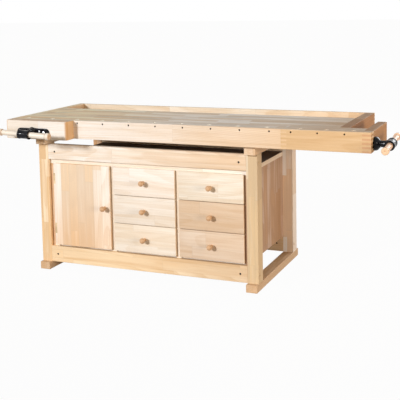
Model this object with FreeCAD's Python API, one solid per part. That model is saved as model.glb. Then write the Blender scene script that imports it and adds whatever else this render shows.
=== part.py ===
import FreeCAD, Part
import math
import os

# Woodworking bench with a front vise, a tail vise and a cabinet of one door and six drawers.
# Sizes are in millimetres. X runs along the bench, Y from front to back, Z up from the floor.
# The pieces are drawn from the left end of the top (X = 0), the front face of the front beam
# (Y = 0) and the floor (Z = 0). On export everything moves so that the origin is on the floor,
# under the middle of the bench's outline.

V = FreeCAD.Vector

# ---------------------------------------------------------------- driving sizes: the top
BENCH_HEIGHT = 860.0
BEAM_LENGTH = 1563.0
BEAM_WIDTH = 128.0
BEAM_HEIGHT = 100.0
TOP_LENGTH = 1877.0
TOP_DEPTH = 712.0
LEFT_CAP_WIDTH = 40.0
RIGHT_CAP_WIDTH = 50.0
BACK_RAIL_WIDTH = 20.0
SLAB_THICKNESS = 40.0
SLAB_WIDTH = 347.0
TRAY_FLOOR_THICKNESS = 14.0
TRAY_FLOOR_LAP = 20.0
TRAY_FLOOR_GROOVE = 8.0
FINGER_COUNT = 10

DOG_HOLE_RADIUS = 9.5
DOG_HOLE_SETBACK = 40.0
DOG_FIRST = 76.0
DOG_PITCH = 156.0
DOG_COUNT = 10
TAIL_DOG_FIRST = 87.0
TAIL_DOG_PITCH = 133.0
TAIL_DOG_COUNT = 3
SIDE_HOLE_RADIUS = 4.5
SIDE_HOLE_DEPTH = 30.0
SIDE_HOLE_DROP = 14.0
SIDE_HOLE_OFFSET = 24.0
TAIL_SIDE_HOLE_OFFSET = -35.0
SIDE_HOLE_SKIP_COUNT = 2

# ---------------------------------------------------------------- driving sizes: the vises
SCREW_RADIUS = 12.0
NECK_RADIUS = 14.0
COLLAR_RADIUS = 19.0
COLLAR_LENGTH = 4.0
VISE_TRAVEL = 150.0
FRONT_HUB_DISTANCE = 86.0
TAIL_HUB_DISTANCE = 80.0
HUB_RADIUS = 23.0
HUB_LENGTH = 66.0
HUB_LIP = 2.0
HUB_LIP_LENGTH = 7.0
BAR_RADIUS = 15.0
BAR_LENGTH = 276.0
KNOB_END_RADIUS = 18.5
KNOB_END_LENGTH = 22.0
KNOB_END_ROUND = 5.0
KNOB_END_DIMPLE = 2.5

JAW_LENGTH = 388.0
JAW_THICKNESS = 72.0
JAW_CORNER = 18.0
FRONT_SCREW_X = 180.5
FRONT_SCREW_DROP = 61.0
FRONT_ROD_OFFSET = 73.0
FRONT_ROD_RADIUS = 8.0
FRONT_PLATE_LENGTH = 199.0
FRONT_PLATE_HEIGHT = 44.0
FRONT_PLATE_THICKNESS = 12.0
FRONT_BOSS_LENGTH = 28.0
FRONT_BOSS_RADIUS = 26.0
FRONT_BOSS_NOSE_RADIUS = 21.0
BOSS_ROUND = 3.0
ROD_CAP_RADIUS = 12.0
ROD_CAP_HEIGHT = 6.0
FRONT_BAR_SHIFT = -2.5
FRONT_BAR_TILT = 2.4
NUT_PLATE_THICKNESS = 12.0
NUT_BOSS_RADIUS = 20.0
NUT_BOSS_LENGTH = 38.0
SLEEVE_RADIUS = 13.0
SLEEVE_LENGTH = 28.0
FRONT_REACH = 330.0

TAIL_GAP = 89.0
TAIL_HEAD_WIDTH = 30.0
TAIL_JOINT_DEPTH = 50.0
TAIL_END_WIDTH = 44.0
TAIL_END_DEPTH = 375.0
TAIL_SCREW_SETBACK = 66.0
TAIL_SCREW_DROP = 62.0
TAIL_FLANGE_RADIUS = 34.0
TAIL_FLANGE_THICKNESS = 8.0
TAIL_BELL_RADIUS = 31.0
TAIL_BELL_NOSE_RADIUS = 19.0
TAIL_BELL_LENGTH = 22.0
TAIL_BELL_ROUND = 4.0
TAIL_BAR_SHIFT = 12.5
TAIL_BAR_TILT = 4.4
TAIL_NUT_RADIUS = 24.0
TAIL_NUT_LENGTH = 30.0
TAIL_SCREW_TAIL = 180.0
TAIL_ROD_RADIUS = 10.0
TAIL_ROD_DROP = 70.0
TAIL_ROD_SETBACKS = (200.0, 320.0)
TAIL_ROD_REACH = 306.0
TAIL_ROD_SEAT = 34.0

# ---------------------------------------------------------------- driving sizes: the base
BASE_LEFT = 118.0
BASE_FRONT = 62.0
BASE_SPAN = 1178.0
BASE_DEPTH = 663.0
POST_WIDTH = 61.0
POST_DEPTH = 68.0
FOOT_HEIGHT = 41.0
FOOT_OVERHANG = 26.0
CROSSBAR_HEIGHT = 47.0
TENON_LENGTH = 24.0
TENON_SHOULDER = 15.0
RAIL_THICKNESS = 28.0
TOP_RAIL_HEIGHT = 86.0
BOTTOM_RAIL_HEIGHT = 90.0
BOLT_RADIUS = 4.0
BOLT_HEAD_RADIUS = 7.5
BOLT_HEAD_HEIGHT = 6.0
BOLT_RECESS = 2.0
BARREL_NUT_RADIUS = 5.5
BARREL_NUT_LENGTH = 18.0
BARREL_NUT_INSET = 40.0
BARREL_NUT_RECESS = 4.0
DRIVER_SLOT_LENGTH = 8.0
DRIVER_SLOT_WIDTH = 1.6
DRIVER_SLOT_DEPTH = 2.0
TOP_BOLT_SETBACK = 12.0
TOP_BOLT_BITE = 18.0
TOP_BOLT_RECESS = 8.0

# ---------------------------------------------------------------- driving sizes: the cabinet
PANEL = 18.0
PARTITION_WIDTH = 28.0
CABINET_TOP_THICKNESS = 23.0
CABINET_DEPTH = 632.0
BACK_PANEL_THICKNESS = 6.0
FRONT_SETBACK = 2.0
FRONT_THICKNESS = 15.0
STILE_WIDTH = 25.0
DOOR_OPENING = 338.0
SHELF_THICKNESS = 18.0
SHELF_LIFT = 235.0
SHELF_SETBACK = 30.0
SHELF_HOUSING = 6.0
BOTTOM_SETBACK = 12.0
DOOR_OVERLAP = 5.0
FRONT_OVERLAP = 3.0
LAST_OVERLAP = 2.0
FRONT_BOTTOM_OVERLAP = 8.0
ROW_GAP = 3.0
DRAWER_ROW_COUNT = 3
DRAWER_COLUMN_COUNT = 2

BOX_WALL = 14.0
BOX_HEADROOM = 20.0
BOX_LENGTH = 590.0
BOX_LIFT = 14.0
BOX_BOTTOM_THICKNESS = 6.0
BOX_BOTTOM_LIFT = 9.0
BOX_GROOVE = 5.0
RUNNER_THICKNESS = 10.0
RUNNER_HEIGHT = 20.0
RUNNER_LIFT = 52.0
RUNNER_FRONT = 12.0
RUNNER_BACK = 25.0

KNOB_RADIUS = 15.0
KNOB_NECK_RADIUS = 7.0
KNOB_NECK_LENGTH = 16.0
DOOR_KNOB_INSET = 34.0

HINGE_LENGTH = 60.0
HINGE_INSET = 60.0
HINGE_LEAF_THICKNESS = 1.5
HINGE_LEAF_WIDTH = 18.0
HINGE_KNUCKLE_RADIUS = 3.0
HINGE_PIN_RADIUS = 1.5

# ---------------------------------------------------------------- clearances
VISE_FACE_GAP = 0.2
SLIDE_GAP = 0.5
BORE_GAP = 0.3
WOOD_BORE_GAP = 0.8
PIN_GAP = 0.05
TENON_GAP = 0.2
BOX_SIDE_GAP = 1.5
RUNNER_GAP = 0.3
CABINET_TOP_GAP = 2.0
HOUSING_GAP = 0.2
EASE = 1.5

# ---------------------------------------------------------------- places worked out from the sizes
TOP_UNDERSIDE = BENCH_HEIGHT - BEAM_HEIGHT
SLAB_UNDERSIDE = BENCH_HEIGHT - SLAB_THICKNESS
SLAB_BACK = BEAM_WIDTH + SLAB_WIDTH
RIGHT_CAP_X = TOP_LENGTH - RIGHT_CAP_WIDTH
BACK_RAIL_Y = TOP_DEPTH - BACK_RAIL_WIDTH
TAIL_END_INNER_X = TOP_LENGTH + TAIL_GAP
TAIL_END_X = TAIL_END_INNER_X + TAIL_END_WIDTH
TAIL_BLOCK_LENGTH = TAIL_END_X - BEAM_LENGTH
FRONT_SCREW_Z = BENCH_HEIGHT - FRONT_SCREW_DROP
TAIL_SCREW_Z = BENCH_HEIGHT - TAIL_SCREW_DROP
TAIL_ROD_Z = BENCH_HEIGHT - TAIL_ROD_DROP
FRONT_HUB_Y = -JAW_THICKNESS - FRONT_HUB_DISTANCE
TAIL_HUB_X = TAIL_END_X + TAIL_HUB_DISTANCE
PLATE_FACE_Y = -JAW_THICKNESS - FRONT_PLATE_THICKNESS

POST_X = (BASE_LEFT, BASE_LEFT + POST_WIDTH + BASE_SPAN)
POST_Y = (BASE_FRONT, BASE_FRONT + BASE_DEPTH - POST_DEPTH)
CROSSBAR_Z = TOP_UNDERSIDE - CROSSBAR_HEIGHT
BAY_LEFT = BASE_LEFT + POST_WIDTH
BAY_RIGHT = BAY_LEFT + BASE_SPAN
BASE_BACK = BASE_FRONT + BASE_DEPTH
BACK_RAILS_Y = BASE_BACK - POST_DEPTH
TOP_RAIL_Z = CROSSBAR_Z - TOP_RAIL_HEIGHT
CABINET_Z = FOOT_HEIGHT + BOTTOM_RAIL_HEIGHT
CABINET_TOP_Z = TOP_RAIL_Z - CABINET_TOP_GAP

FACE_Y = BASE_FRONT + FRONT_SETBACK
CABINET_Y = FACE_Y + FRONT_THICKNESS
CABINET_BACK_Y = CABINET_Y + CABINET_DEPTH
INSIDE_BACK_Y = CABINET_BACK_Y - BACK_PANEL_THICKNESS
INSIDE_LEFT = BAY_LEFT + PANEL
INSIDE_RIGHT = BAY_RIGHT - PANEL
INSIDE_BOTTOM = CABINET_Z + PANEL
INSIDE_TOP = CABINET_TOP_Z - CABINET_TOP_THICKNESS
STILE_RIGHT = INSIDE_LEFT + STILE_WIDTH
COLUMN_WIDTH = (INSIDE_RIGHT - STILE_RIGHT - DOOR_OPENING) / DRAWER_COLUMN_COUNT - PARTITION_WIDTH
PARTITION_X = [STILE_RIGHT + DOOR_OPENING + i * (COLUMN_WIDTH + PARTITION_WIDTH)
               for i in range(DRAWER_COLUMN_COUNT)]
FRONTS_BOTTOM = CABINET_Z + PANEL - FRONT_BOTTOM_OVERLAP
FRONTS_TOP = INSIDE_TOP + FRONT_OVERLAP
FRONT_HEIGHT = (FRONTS_TOP - FRONTS_BOTTOM - (DRAWER_ROW_COUNT - 1) * ROW_GAP) / DRAWER_ROW_COUNT
BOX_HEIGHT = FRONT_HEIGHT - BOX_LIFT - BOX_HEADROOM
DOOR_LEFT = STILE_RIGHT - DOOR_OVERLAP
DOOR_RIGHT = PARTITION_X[0] + FRONT_OVERLAP
HINGE_X = DOOR_LEFT - PIN_GAP - HINGE_LEAF_THICKNESS
HINGE_Y = CABINET_Y - HINGE_KNUCKLE_RADIUS

OUTLINE_RIGHT = TAIL_HUB_X + HUB_RADIUS + HUB_LIP
OUTLINE_FRONT = FRONT_HUB_Y - HUB_RADIUS - HUB_LIP
OUTLINE_BACK = BASE_BACK + FOOT_OVERHANG
ORIGIN = V(OUTLINE_RIGHT / 2, (OUTLINE_FRONT + OUTLINE_BACK) / 2, 0)


# ---------------------------------------------------------------- helpers
def box(x0, x1, y0, y1, z0, z1):
    return Part.makeBox(x1 - x0, y1 - y0, z1 - z0, V(x0, y0, z0))


def board(x0, x1, y0, y1, z0, z1, shown="", ease=EASE):
    """A board. An edge between two of the sides named in shown, such as "-y +z", is eased."""
    plain = box(x0, x1, y0, y1, z0, z1)
    sides = {"-x": (0, x0), "+x": (0, x1), "-y": (1, y0), "+y": (1, y1), "-z": (2, z0), "+z": (2, z1)}
    names = shown.split()
    edges = []
    for edge in plain.Edges:
        middle = edge.BoundBox.Center
        on = [n for n in names if abs(middle[sides[n][0]] - sides[n][1]) < 1e-6]
        if len(on) == 2:
            edges.append(edge)
    return plain.makeChamfer(ease, edges) if edges else plain


def rod(radius, start, end):
    start, end = V(*start), V(*end)
    return Part.makeCylinder(radius, (end - start).Length, start, end - start)


def turned(profile, place, axis):
    """A piece turned on a lathe: profile lists (distance along the axis, radius) from one end."""
    points = [V(0, 0, profile[0][0])]
    points += [V(r, 0, d) for d, r in profile]
    points += [V(0, 0, profile[-1][0]), points[0]]
    face = Part.Face(Part.makePolygon(points))
    solid = face.revolve(V(0, 0, 0), V(0, 0, 1), 360)
    return placed(solid, place, axis)


def placed(shape, place, axis):
    """Stand a shape that was made along Z at place, along axis."""
    shape = shape.copy()
    shape.Placement = FreeCAD.Placement(V(*place), FreeCAD.Rotation(V(0, 0, 1), V(*axis)))
    return shape


def fingers(x0, x1, y0, y1, first):
    """Every second finger of a box joint over the height of the top, from the top down."""
    step = BEAM_HEIGHT / FINGER_COUNT
    parts = []
    for i in range(first, FINGER_COUNT, 2):
        top = BENCH_HEIGHT - i * step
        parts.append(box(x0, x1, y0, y1, top - step, top))
    return parts


def joined(first, others):
    """Glue shapes into one solid with no seams."""
    return first.fuse(others).removeSplitter()


def cut(shape, tools):
    return shape.cut(tools)


def tilted(angle, across, up):
    """A direction that leans up by angle from the direction called across."""
    a = math.radians(angle)
    return V(*across) * math.cos(a) + V(*up) * math.sin(a)


NODES = {}


def keep(name, *solids):
    NODES[name] = solids[0] if len(solids) == 1 else Part.makeCompound(list(solids))


# ---------------------------------------------------------------- the top
def dog_places():
    return [(DOG_FIRST + i * DOG_PITCH, DOG_HOLE_SETBACK) for i in range(DOG_COUNT)]


def tail_dog_places():
    first = BEAM_LENGTH + TAIL_DOG_FIRST
    return [(first + i * TAIL_DOG_PITCH, DOG_HOLE_SETBACK) for i in range(TAIL_DOG_COUNT)]


def dog_holes(places):
    return [rod(DOG_HOLE_RADIUS, (x, y, TOP_UNDERSIDE - 1), (x, y, BENCH_HEIGHT + 1)) for x, y in places]


def side_holes(places, offset):
    z = BENCH_HEIGHT - SIDE_HOLE_DROP
    return [rod(SIDE_HOLE_RADIUS, (x + offset, -1, z), (x + offset, SIDE_HOLE_DEPTH, z)) for x, y in places]


def rod_places():
    return [FRONT_SCREW_X - FRONT_ROD_OFFSET, FRONT_SCREW_X + FRONT_ROD_OFFSET]


def make_top():
    z0, z1 = TOP_UNDERSIDE, BENCH_HEIGHT
    beam = joined(board(LEFT_CAP_WIDTH, BEAM_LENGTH, 0, BEAM_WIDTH, z0, z1, "-y +z -z"),
                  fingers(0, LEFT_CAP_WIDTH, 0, BEAM_WIDTH, 0))
    holes = dog_holes(dog_places())
    holes += side_holes(dog_places()[SIDE_HOLE_SKIP_COUNT:], SIDE_HOLE_OFFSET)
    holes += [rod(SCREW_RADIUS + WOOD_BORE_GAP, (FRONT_SCREW_X, -1, FRONT_SCREW_Z),
                  (FRONT_SCREW_X, BEAM_WIDTH + 1, FRONT_SCREW_Z))]
    rod_bore = FRONT_ROD_RADIUS + WOOD_BORE_GAP
    holes += [rod(rod_bore, (x, -1, FRONT_SCREW_Z), (x, BEAM_WIDTH + 1, FRONT_SCREW_Z))
              for x in rod_places()]
    y, z = TAIL_SCREW_SETBACK, TAIL_SCREW_Z
    nut_left = BEAM_LENGTH - TAIL_NUT_LENGTH
    holes += [rod(TAIL_NUT_RADIUS + TENON_GAP, (nut_left, y, z), (BEAM_LENGTH + 1, y, z)),
              rod(SCREW_RADIUS + WOOD_BORE_GAP, (BEAM_LENGTH - TAIL_SCREW_TAIL - SLIDE_GAP, y, z),
                  (BEAM_LENGTH, y, z))]
    holes += [top_bolt_hole(x) for x in POST_X]
    keep("front_beam", cut(beam, holes))

    floor_z = SLAB_UNDERSIDE - TRAY_FLOOR_THICKNESS
    keep("worktop_slab",
         board(LEFT_CAP_WIDTH, RIGHT_CAP_X, BEAM_WIDTH, SLAB_BACK, SLAB_UNDERSIDE, z1, "+y +z"))

    keep("left_end_cap", joined(board(0, LEFT_CAP_WIDTH, BEAM_WIDTH, BACK_RAIL_Y, z0, z1, "-x +z -z"),
                                fingers(0, LEFT_CAP_WIDTH, 0, BEAM_WIDTH, 1)
                                + fingers(0, LEFT_CAP_WIDTH, BACK_RAIL_Y, TOP_DEPTH, 1)))

    cap = joined(board(RIGHT_CAP_X, TOP_LENGTH, BEAM_WIDTH, BACK_RAIL_Y, z0, z1, "+x +z -z"),
                 fingers(RIGHT_CAP_X, TOP_LENGTH, BACK_RAIL_Y, TOP_DEPTH, 1))
    keep("right_end_cap", cut(cap, [
        rod(TAIL_ROD_RADIUS + BORE_GAP, (RIGHT_CAP_X - 1, y, TAIL_ROD_Z), (TOP_LENGTH + 1, y, TAIL_ROD_Z))
        for y in TAIL_ROD_SETBACKS]))

    rail = joined(board(LEFT_CAP_WIDTH, RIGHT_CAP_X, BACK_RAIL_Y, TOP_DEPTH, z0, z1, "-y +y +z -z"),
                  fingers(0, LEFT_CAP_WIDTH, BACK_RAIL_Y, TOP_DEPTH, 0)
                  + fingers(RIGHT_CAP_X, TOP_LENGTH, BACK_RAIL_Y, TOP_DEPTH, 0))
    keep("back_rail", cut(rail, [box(LEFT_CAP_WIDTH - SLIDE_GAP, RIGHT_CAP_X + SLIDE_GAP, BACK_RAIL_Y - 1,
                                     BACK_RAIL_Y + TRAY_FLOOR_GROOVE, floor_z, SLAB_UNDERSIDE)]))
    keep("tray_floor", box(LEFT_CAP_WIDTH, RIGHT_CAP_X, SLAB_BACK - TRAY_FLOOR_LAP,
                           BACK_RAIL_Y + TRAY_FLOOR_GROOVE, floor_z, SLAB_UNDERSIDE))


# ---------------------------------------------------------------- what both vises share
def collar(distance):
    """The stretch of a screw's outline with its thrust collar, distance from the jaw's face."""
    return [(distance, NECK_RADIUS), (distance, COLLAR_RADIUS),
            (distance + COLLAR_LENGTH, COLLAR_RADIUS), (distance + COLLAR_LENGTH, NECK_RADIUS)]


def collar_room(distance):
    """The same stretch of the bore round it, with its clearance."""
    low, high = distance - BORE_GAP, distance + COLLAR_LENGTH + BORE_GAP
    return [(low, NECK_RADIUS + BORE_GAP), (low, COLLAR_RADIUS + BORE_GAP),
            (high, COLLAR_RADIUS + BORE_GAP), (high, NECK_RADIUS + BORE_GAP)]


def screw(face, axis, reach, seat, collar_at, hub_at, lean):
    """A vise screw: thread, neck, thrust collar and the cross hub that holds the tommy bar."""
    shaft = turned([(-reach, SCREW_RADIUS), (0, SCREW_RADIUS), (0, NECK_RADIUS)] + collar(collar_at)
                   + [(seat, NECK_RADIUS), (hub_at, NECK_RADIUS)], face, axis)
    middle = V(*face) + V(*axis) * hub_at
    half, lip = HUB_LENGTH / 2, HUB_LIP_LENGTH
    hub = turned([(-half, HUB_RADIUS + HUB_LIP), (lip - half, HUB_RADIUS + HUB_LIP),
                  (lip - half + HUB_LIP, HUB_RADIUS), (half - lip - HUB_LIP, HUB_RADIUS),
                  (half - lip, HUB_RADIUS + HUB_LIP), (half, HUB_RADIUS + HUB_LIP)], middle, lean)
    whole = joined(shaft, [hub])
    return cut(whole, [rod(BAR_RADIUS + BORE_GAP, middle - lean * HUB_LENGTH, middle + lean * HUB_LENGTH)])


def tommy_bar(middle, lean):
    """A turned bar with a knob at each end."""
    half, back = BAR_LENGTH / 2, BAR_LENGTH / 2 + KNOB_END_LENGTH
    r, c = KNOB_END_RADIUS, KNOB_END_ROUND
    bar = rod(BAR_RADIUS, middle - lean * half, middle + lean * half)
    knob = turned([(half, r - c / 2), (half + c / 2, r), (back - c, r), (back - c * 0.3, r - c * 0.3),
                   (back, r - c), (back, KNOB_END_DIMPLE), (back - c, 0.3)], middle, lean)
    other = turned([(-back + c, 0.3), (-back, KNOB_END_DIMPLE), (-back, r - c),
                    (-back + c * 0.3, r - c * 0.3), (-back + c, r), (-half - c / 2, r), (-half, r - c / 2)],
                   middle, lean)
    return bar, knob, other


# ---------------------------------------------------------------- the front vise
def make_front_vise():
    z = FRONT_SCREW_Z
    jaw = box(0, JAW_LENGTH, -JAW_THICKNESS, -VISE_FACE_GAP, TOP_UNDERSIDE, BENCH_HEIGHT)
    corners = [e for e in jaw.Edges
               if abs(e.BoundBox.Center.y + JAW_THICKNESS) < 1e-6 and e.BoundBox.ZLength > BEAM_HEIGHT / 2]
    jaw = jaw.makeFillet(JAW_CORNER, corners)
    rims = [e for e in jaw.Edges if e.BoundBox.ZLength < 1e-6 and e.BoundBox.YMax < -VISE_FACE_GAP - 1e-6]
    jaw = jaw.makeChamfer(EASE, rims)
    bores = [rod(NECK_RADIUS + BORE_GAP, (FRONT_SCREW_X, -JAW_THICKNESS - 1, z), (FRONT_SCREW_X, 1, z))]
    bores += [rod(FRONT_ROD_RADIUS + TENON_GAP, (x, -JAW_THICKNESS - 1, z), (x, 1, z))
              for x in rod_places()]
    keep("front_jaw", cut(jaw, bores))

    keep("front_guide_rods", *[rod(FRONT_ROD_RADIUS, (x, PLATE_FACE_Y, z), (x, FRONT_REACH, z))
                               for x in rod_places()])

    half, r = FRONT_PLATE_LENGTH / 2, FRONT_PLATE_HEIGHT / 2
    rounds = (FRONT_SCREW_X - half + r, FRONT_SCREW_X + half - r)
    plate = box(rounds[0], rounds[1], PLATE_FACE_Y, -JAW_THICKNESS, z - r, z + r)
    ends = [rod(r, (x, PLATE_FACE_Y, z), (x, -JAW_THICKNESS, z)) for x in rounds]
    plate = joined(plate, ends)
    rim = [e for e in plate.Edges if abs(e.BoundBox.YMax - PLATE_FACE_Y) < 1e-6]
    plate = plate.makeChamfer(FRONT_PLATE_THICKNESS / 3, rim)
    face = (FRONT_SCREW_X, -JAW_THICKNESS, z)
    nose = FRONT_PLATE_THICKNESS + FRONT_BOSS_LENGTH
    boss = turned([(BOSS_ROUND, FRONT_BOSS_RADIUS), (FRONT_PLATE_THICKNESS + BOSS_ROUND, FRONT_BOSS_RADIUS),
                   (nose - BOSS_ROUND, FRONT_BOSS_NOSE_RADIUS + BOSS_ROUND / 2),
                   (nose, FRONT_BOSS_NOSE_RADIUS - BOSS_ROUND / 2)], face, (0, -1, 0))
    caps = [turned([(-FRONT_PLATE_THICKNESS / 2, ROD_CAP_RADIUS), (ROD_CAP_HEIGHT * 0.4, ROD_CAP_RADIUS),
                    (ROD_CAP_HEIGHT * 0.8, ROD_CAP_RADIUS * 0.8), (ROD_CAP_HEIGHT, ROD_CAP_RADIUS * 0.4)],
                   (x, PLATE_FACE_Y, z), (0, -1, 0)) for x in rod_places()]
    plate = joined(plate, [boss] + caps)
    collar_at = nose - COLLAR_LENGTH * 3
    room = turned([(-1, NECK_RADIUS + BORE_GAP)] + collar_room(collar_at)
                  + [(nose + 1, NECK_RADIUS + BORE_GAP)], face, (0, -1, 0))
    rods = [rod(FRONT_ROD_RADIUS + TENON_GAP, (x, PLATE_FACE_Y, z), (x, 1 - JAW_THICKNESS, z))
            for x in rod_places()]
    keep("front_vise_plate", cut(plate, [room] + rods))

    lean = tilted(-FRONT_BAR_TILT, (1, 0, 0), (0, 0, 1))
    keep("front_screw", screw(face, (0, -1, 0), FRONT_REACH + JAW_THICKNESS, nose, collar_at,
                              FRONT_HUB_DISTANCE, lean))
    middle = V(FRONT_SCREW_X, FRONT_HUB_Y, z) + lean * FRONT_BAR_SHIFT
    keep("front_bar", *tommy_bar(middle, lean))

    y = BEAM_WIDTH
    nut = box(FRONT_SCREW_X - half, FRONT_SCREW_X + half, y, y + NUT_PLATE_THICKNESS,
              z - NUT_BOSS_RADIUS, z + NUT_BOSS_RADIUS)
    bosses = [rod(NUT_BOSS_RADIUS, (FRONT_SCREW_X, y, z), (FRONT_SCREW_X, y + NUT_BOSS_LENGTH, z))]
    bosses += [rod(SLEEVE_RADIUS, (x, y, z), (x, y + SLEEVE_LENGTH, z)) for x in rod_places()]
    bores = [rod(SCREW_RADIUS + BORE_GAP, (FRONT_SCREW_X, y - 1, z),
                 (FRONT_SCREW_X, y + NUT_BOSS_LENGTH + 1, z))]
    bores += [rod(FRONT_ROD_RADIUS + BORE_GAP, (x, y - 1, z), (x, y + SLEEVE_LENGTH + 1, z))
              for x in rod_places()]
    keep("front_vise_nut", cut(joined(nut, bosses), bores))


# ---------------------------------------------------------------- the tail vise
def make_tail_vise():
    z0, z1 = TOP_UNDERSIDE, BENCH_HEIGHT
    back = BEAM_WIDTH - SLIDE_GAP
    left = BEAM_LENGTH + VISE_FACE_GAP
    head_right = BEAM_LENGTH + TAIL_HEAD_WIDTH
    y, z = TAIL_SCREW_SETBACK, TAIL_SCREW_Z
    bore = rod(NECK_RADIUS + BORE_GAP, (left - 1, y, z), (TAIL_END_X + 1, y, z))

    spine = TAIL_JOINT_DEPTH
    block = joined(board(head_right, TAIL_END_INNER_X, 0, back, z0, z1, "-y +z -z +y"),
                   fingers(left, head_right, 0, spine, 0)
                   + fingers(TAIL_END_INNER_X, TAIL_END_X, 0, spine, 0))
    holes = dog_holes(tail_dog_places()) + side_holes(tail_dog_places(), TAIL_SIDE_HOLE_OFFSET)
    keep("tail_block", cut(block, holes + [bore]))

    comb = joined(board(left, head_right, spine, back, z0, z1, "+y +z -z"),
                  fingers(left, head_right, 0, spine, 1))
    keep("tail_jaw_head", cut(comb, [bore]))

    end = joined(board(TAIL_END_INNER_X, TAIL_END_X, spine, TAIL_END_DEPTH, z0, z1, "+x +y +z -z"),
                 fingers(TAIL_END_INNER_X, TAIL_END_X, 0, spine, 1))
    seats = [rod(TAIL_ROD_RADIUS + TENON_GAP, (TAIL_END_INNER_X - 1, r, TAIL_ROD_Z),
                 (TAIL_END_INNER_X + TAIL_ROD_SEAT, r, TAIL_ROD_Z)) for r in TAIL_ROD_SETBACKS]
    keep("tail_end_block", cut(end, [bore] + seats))
    keep("tail_guide_rods", *[
        rod(TAIL_ROD_RADIUS, (TAIL_END_INNER_X - TAIL_ROD_REACH, r, TAIL_ROD_Z),
            (TAIL_END_INNER_X + TAIL_ROD_SEAT, r, TAIL_ROD_Z)) for r in TAIL_ROD_SETBACKS])

    face = (TAIL_END_X, y, z)
    nose = TAIL_FLANGE_THICKNESS + TAIL_BELL_LENGTH
    collar_at = nose - COLLAR_LENGTH * 4
    shoulder = nose - TAIL_BELL_ROUND * 2
    flange = turned([(0, TAIL_FLANGE_RADIUS), (TAIL_FLANGE_THICKNESS * 0.7, TAIL_FLANGE_RADIUS),
                     (TAIL_FLANGE_THICKNESS, TAIL_BELL_RADIUS), (shoulder, TAIL_BELL_RADIUS * 0.92),
                     (nose - TAIL_BELL_ROUND, TAIL_BELL_NOSE_RADIUS * 1.1),
                     (nose, TAIL_BELL_NOSE_RADIUS)], face, (1, 0, 0))
    room = turned([(-1, NECK_RADIUS + BORE_GAP)] + collar_room(collar_at)
                  + [(nose + 1, NECK_RADIUS + BORE_GAP)], face, (1, 0, 0))
    keep("tail_flange", cut(flange, [room]))

    lean = tilted(TAIL_BAR_TILT, (0, 1, 0), (0, 0, 1))
    reach = TAIL_BLOCK_LENGTH + TAIL_SCREW_TAIL
    keep("tail_screw", screw(face, (1, 0, 0), reach, nose, collar_at, TAIL_HUB_DISTANCE, lean))
    middle = V(TAIL_HUB_X, y, z) + lean * TAIL_BAR_SHIFT
    keep("tail_bar", *tommy_bar(middle, lean))

    nut = rod(TAIL_NUT_RADIUS, (BEAM_LENGTH - TAIL_NUT_LENGTH, y, z), (BEAM_LENGTH, y, z))
    keep("tail_vise_nut", cut(nut, [rod(SCREW_RADIUS + BORE_GAP, (BEAM_LENGTH - TAIL_NUT_LENGTH - 1, y, z),
                                        (BEAM_LENGTH + 1, y, z))]))


# ---------------------------------------------------------------- the base
def tenon(x, y, z0, z1, gap):
    """A post's tenon, or with a gap the mortise for it."""
    s = TENON_SHOULDER - gap
    return box(x + s, x + POST_WIDTH - s, y + s, y + POST_DEPTH - s, z0, z1)


def bolt_rows():
    """Where the rails are bolted: the height of the bolt and its distance from the front."""
    heights = (TOP_RAIL_Z + TOP_RAIL_HEIGHT / 2, FOOT_HEIGHT + BOTTOM_RAIL_HEIGHT / 2)
    depths = (BASE_FRONT + RAIL_THICKNESS / 2, BACK_RAILS_Y + RAIL_THICKNESS / 2)
    return [(y, z) for y in depths for z in heights]


def bolt_ends():
    """For each end of the rails: the post's outer face and the direction into the bay."""
    return [(POST_X[0], 1), (POST_X[1] + POST_WIDTH, -1)]


def bolt_length():
    return POST_WIDTH + BARREL_NUT_INSET + BARREL_NUT_RADIUS * 2


def bolt_hole(x, way, y, z):
    head = BOLT_RECESS + BOLT_HEAD_HEIGHT
    return [rod(BOLT_RADIUS + BORE_GAP, (x - way, y, z), (x + way * (bolt_length() + 1), y, z)),
            rod(BOLT_HEAD_RADIUS + 1, (x - way, y, z), (x + way * head, y, z))]


def barrel_hole(x, way, y, z):
    """The blind hole for a barrel nut, drilled from the rail's front face."""
    nut_x = x + way * (POST_WIDTH + BARREL_NUT_INSET)
    depth = BARREL_NUT_RECESS + BARREL_NUT_LENGTH
    return rod(BARREL_NUT_RADIUS + BORE_GAP, (nut_x, y - 1, z), (nut_x, y + depth, z))


def top_bolt_place(x):
    return x + POST_WIDTH / 2, BASE_FRONT - TOP_BOLT_SETBACK


def top_bolt_hole(x):
    px, py = top_bolt_place(x)
    return rod(BOLT_RADIUS + BORE_GAP, (px, py, CROSSBAR_Z - 1),
               (px, py, TOP_UNDERSIDE + TOP_BOLT_BITE + 1))


def top_bolt_room(x):
    """The counterbore in the crossbar's underside that hides the head of the bolt."""
    px, py = top_bolt_place(x)
    return rod(BOLT_HEAD_RADIUS + 1, (px, py, CROSSBAR_Z - 1), (px, py, CROSSBAR_Z + TOP_BOLT_RECESS))


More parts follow.
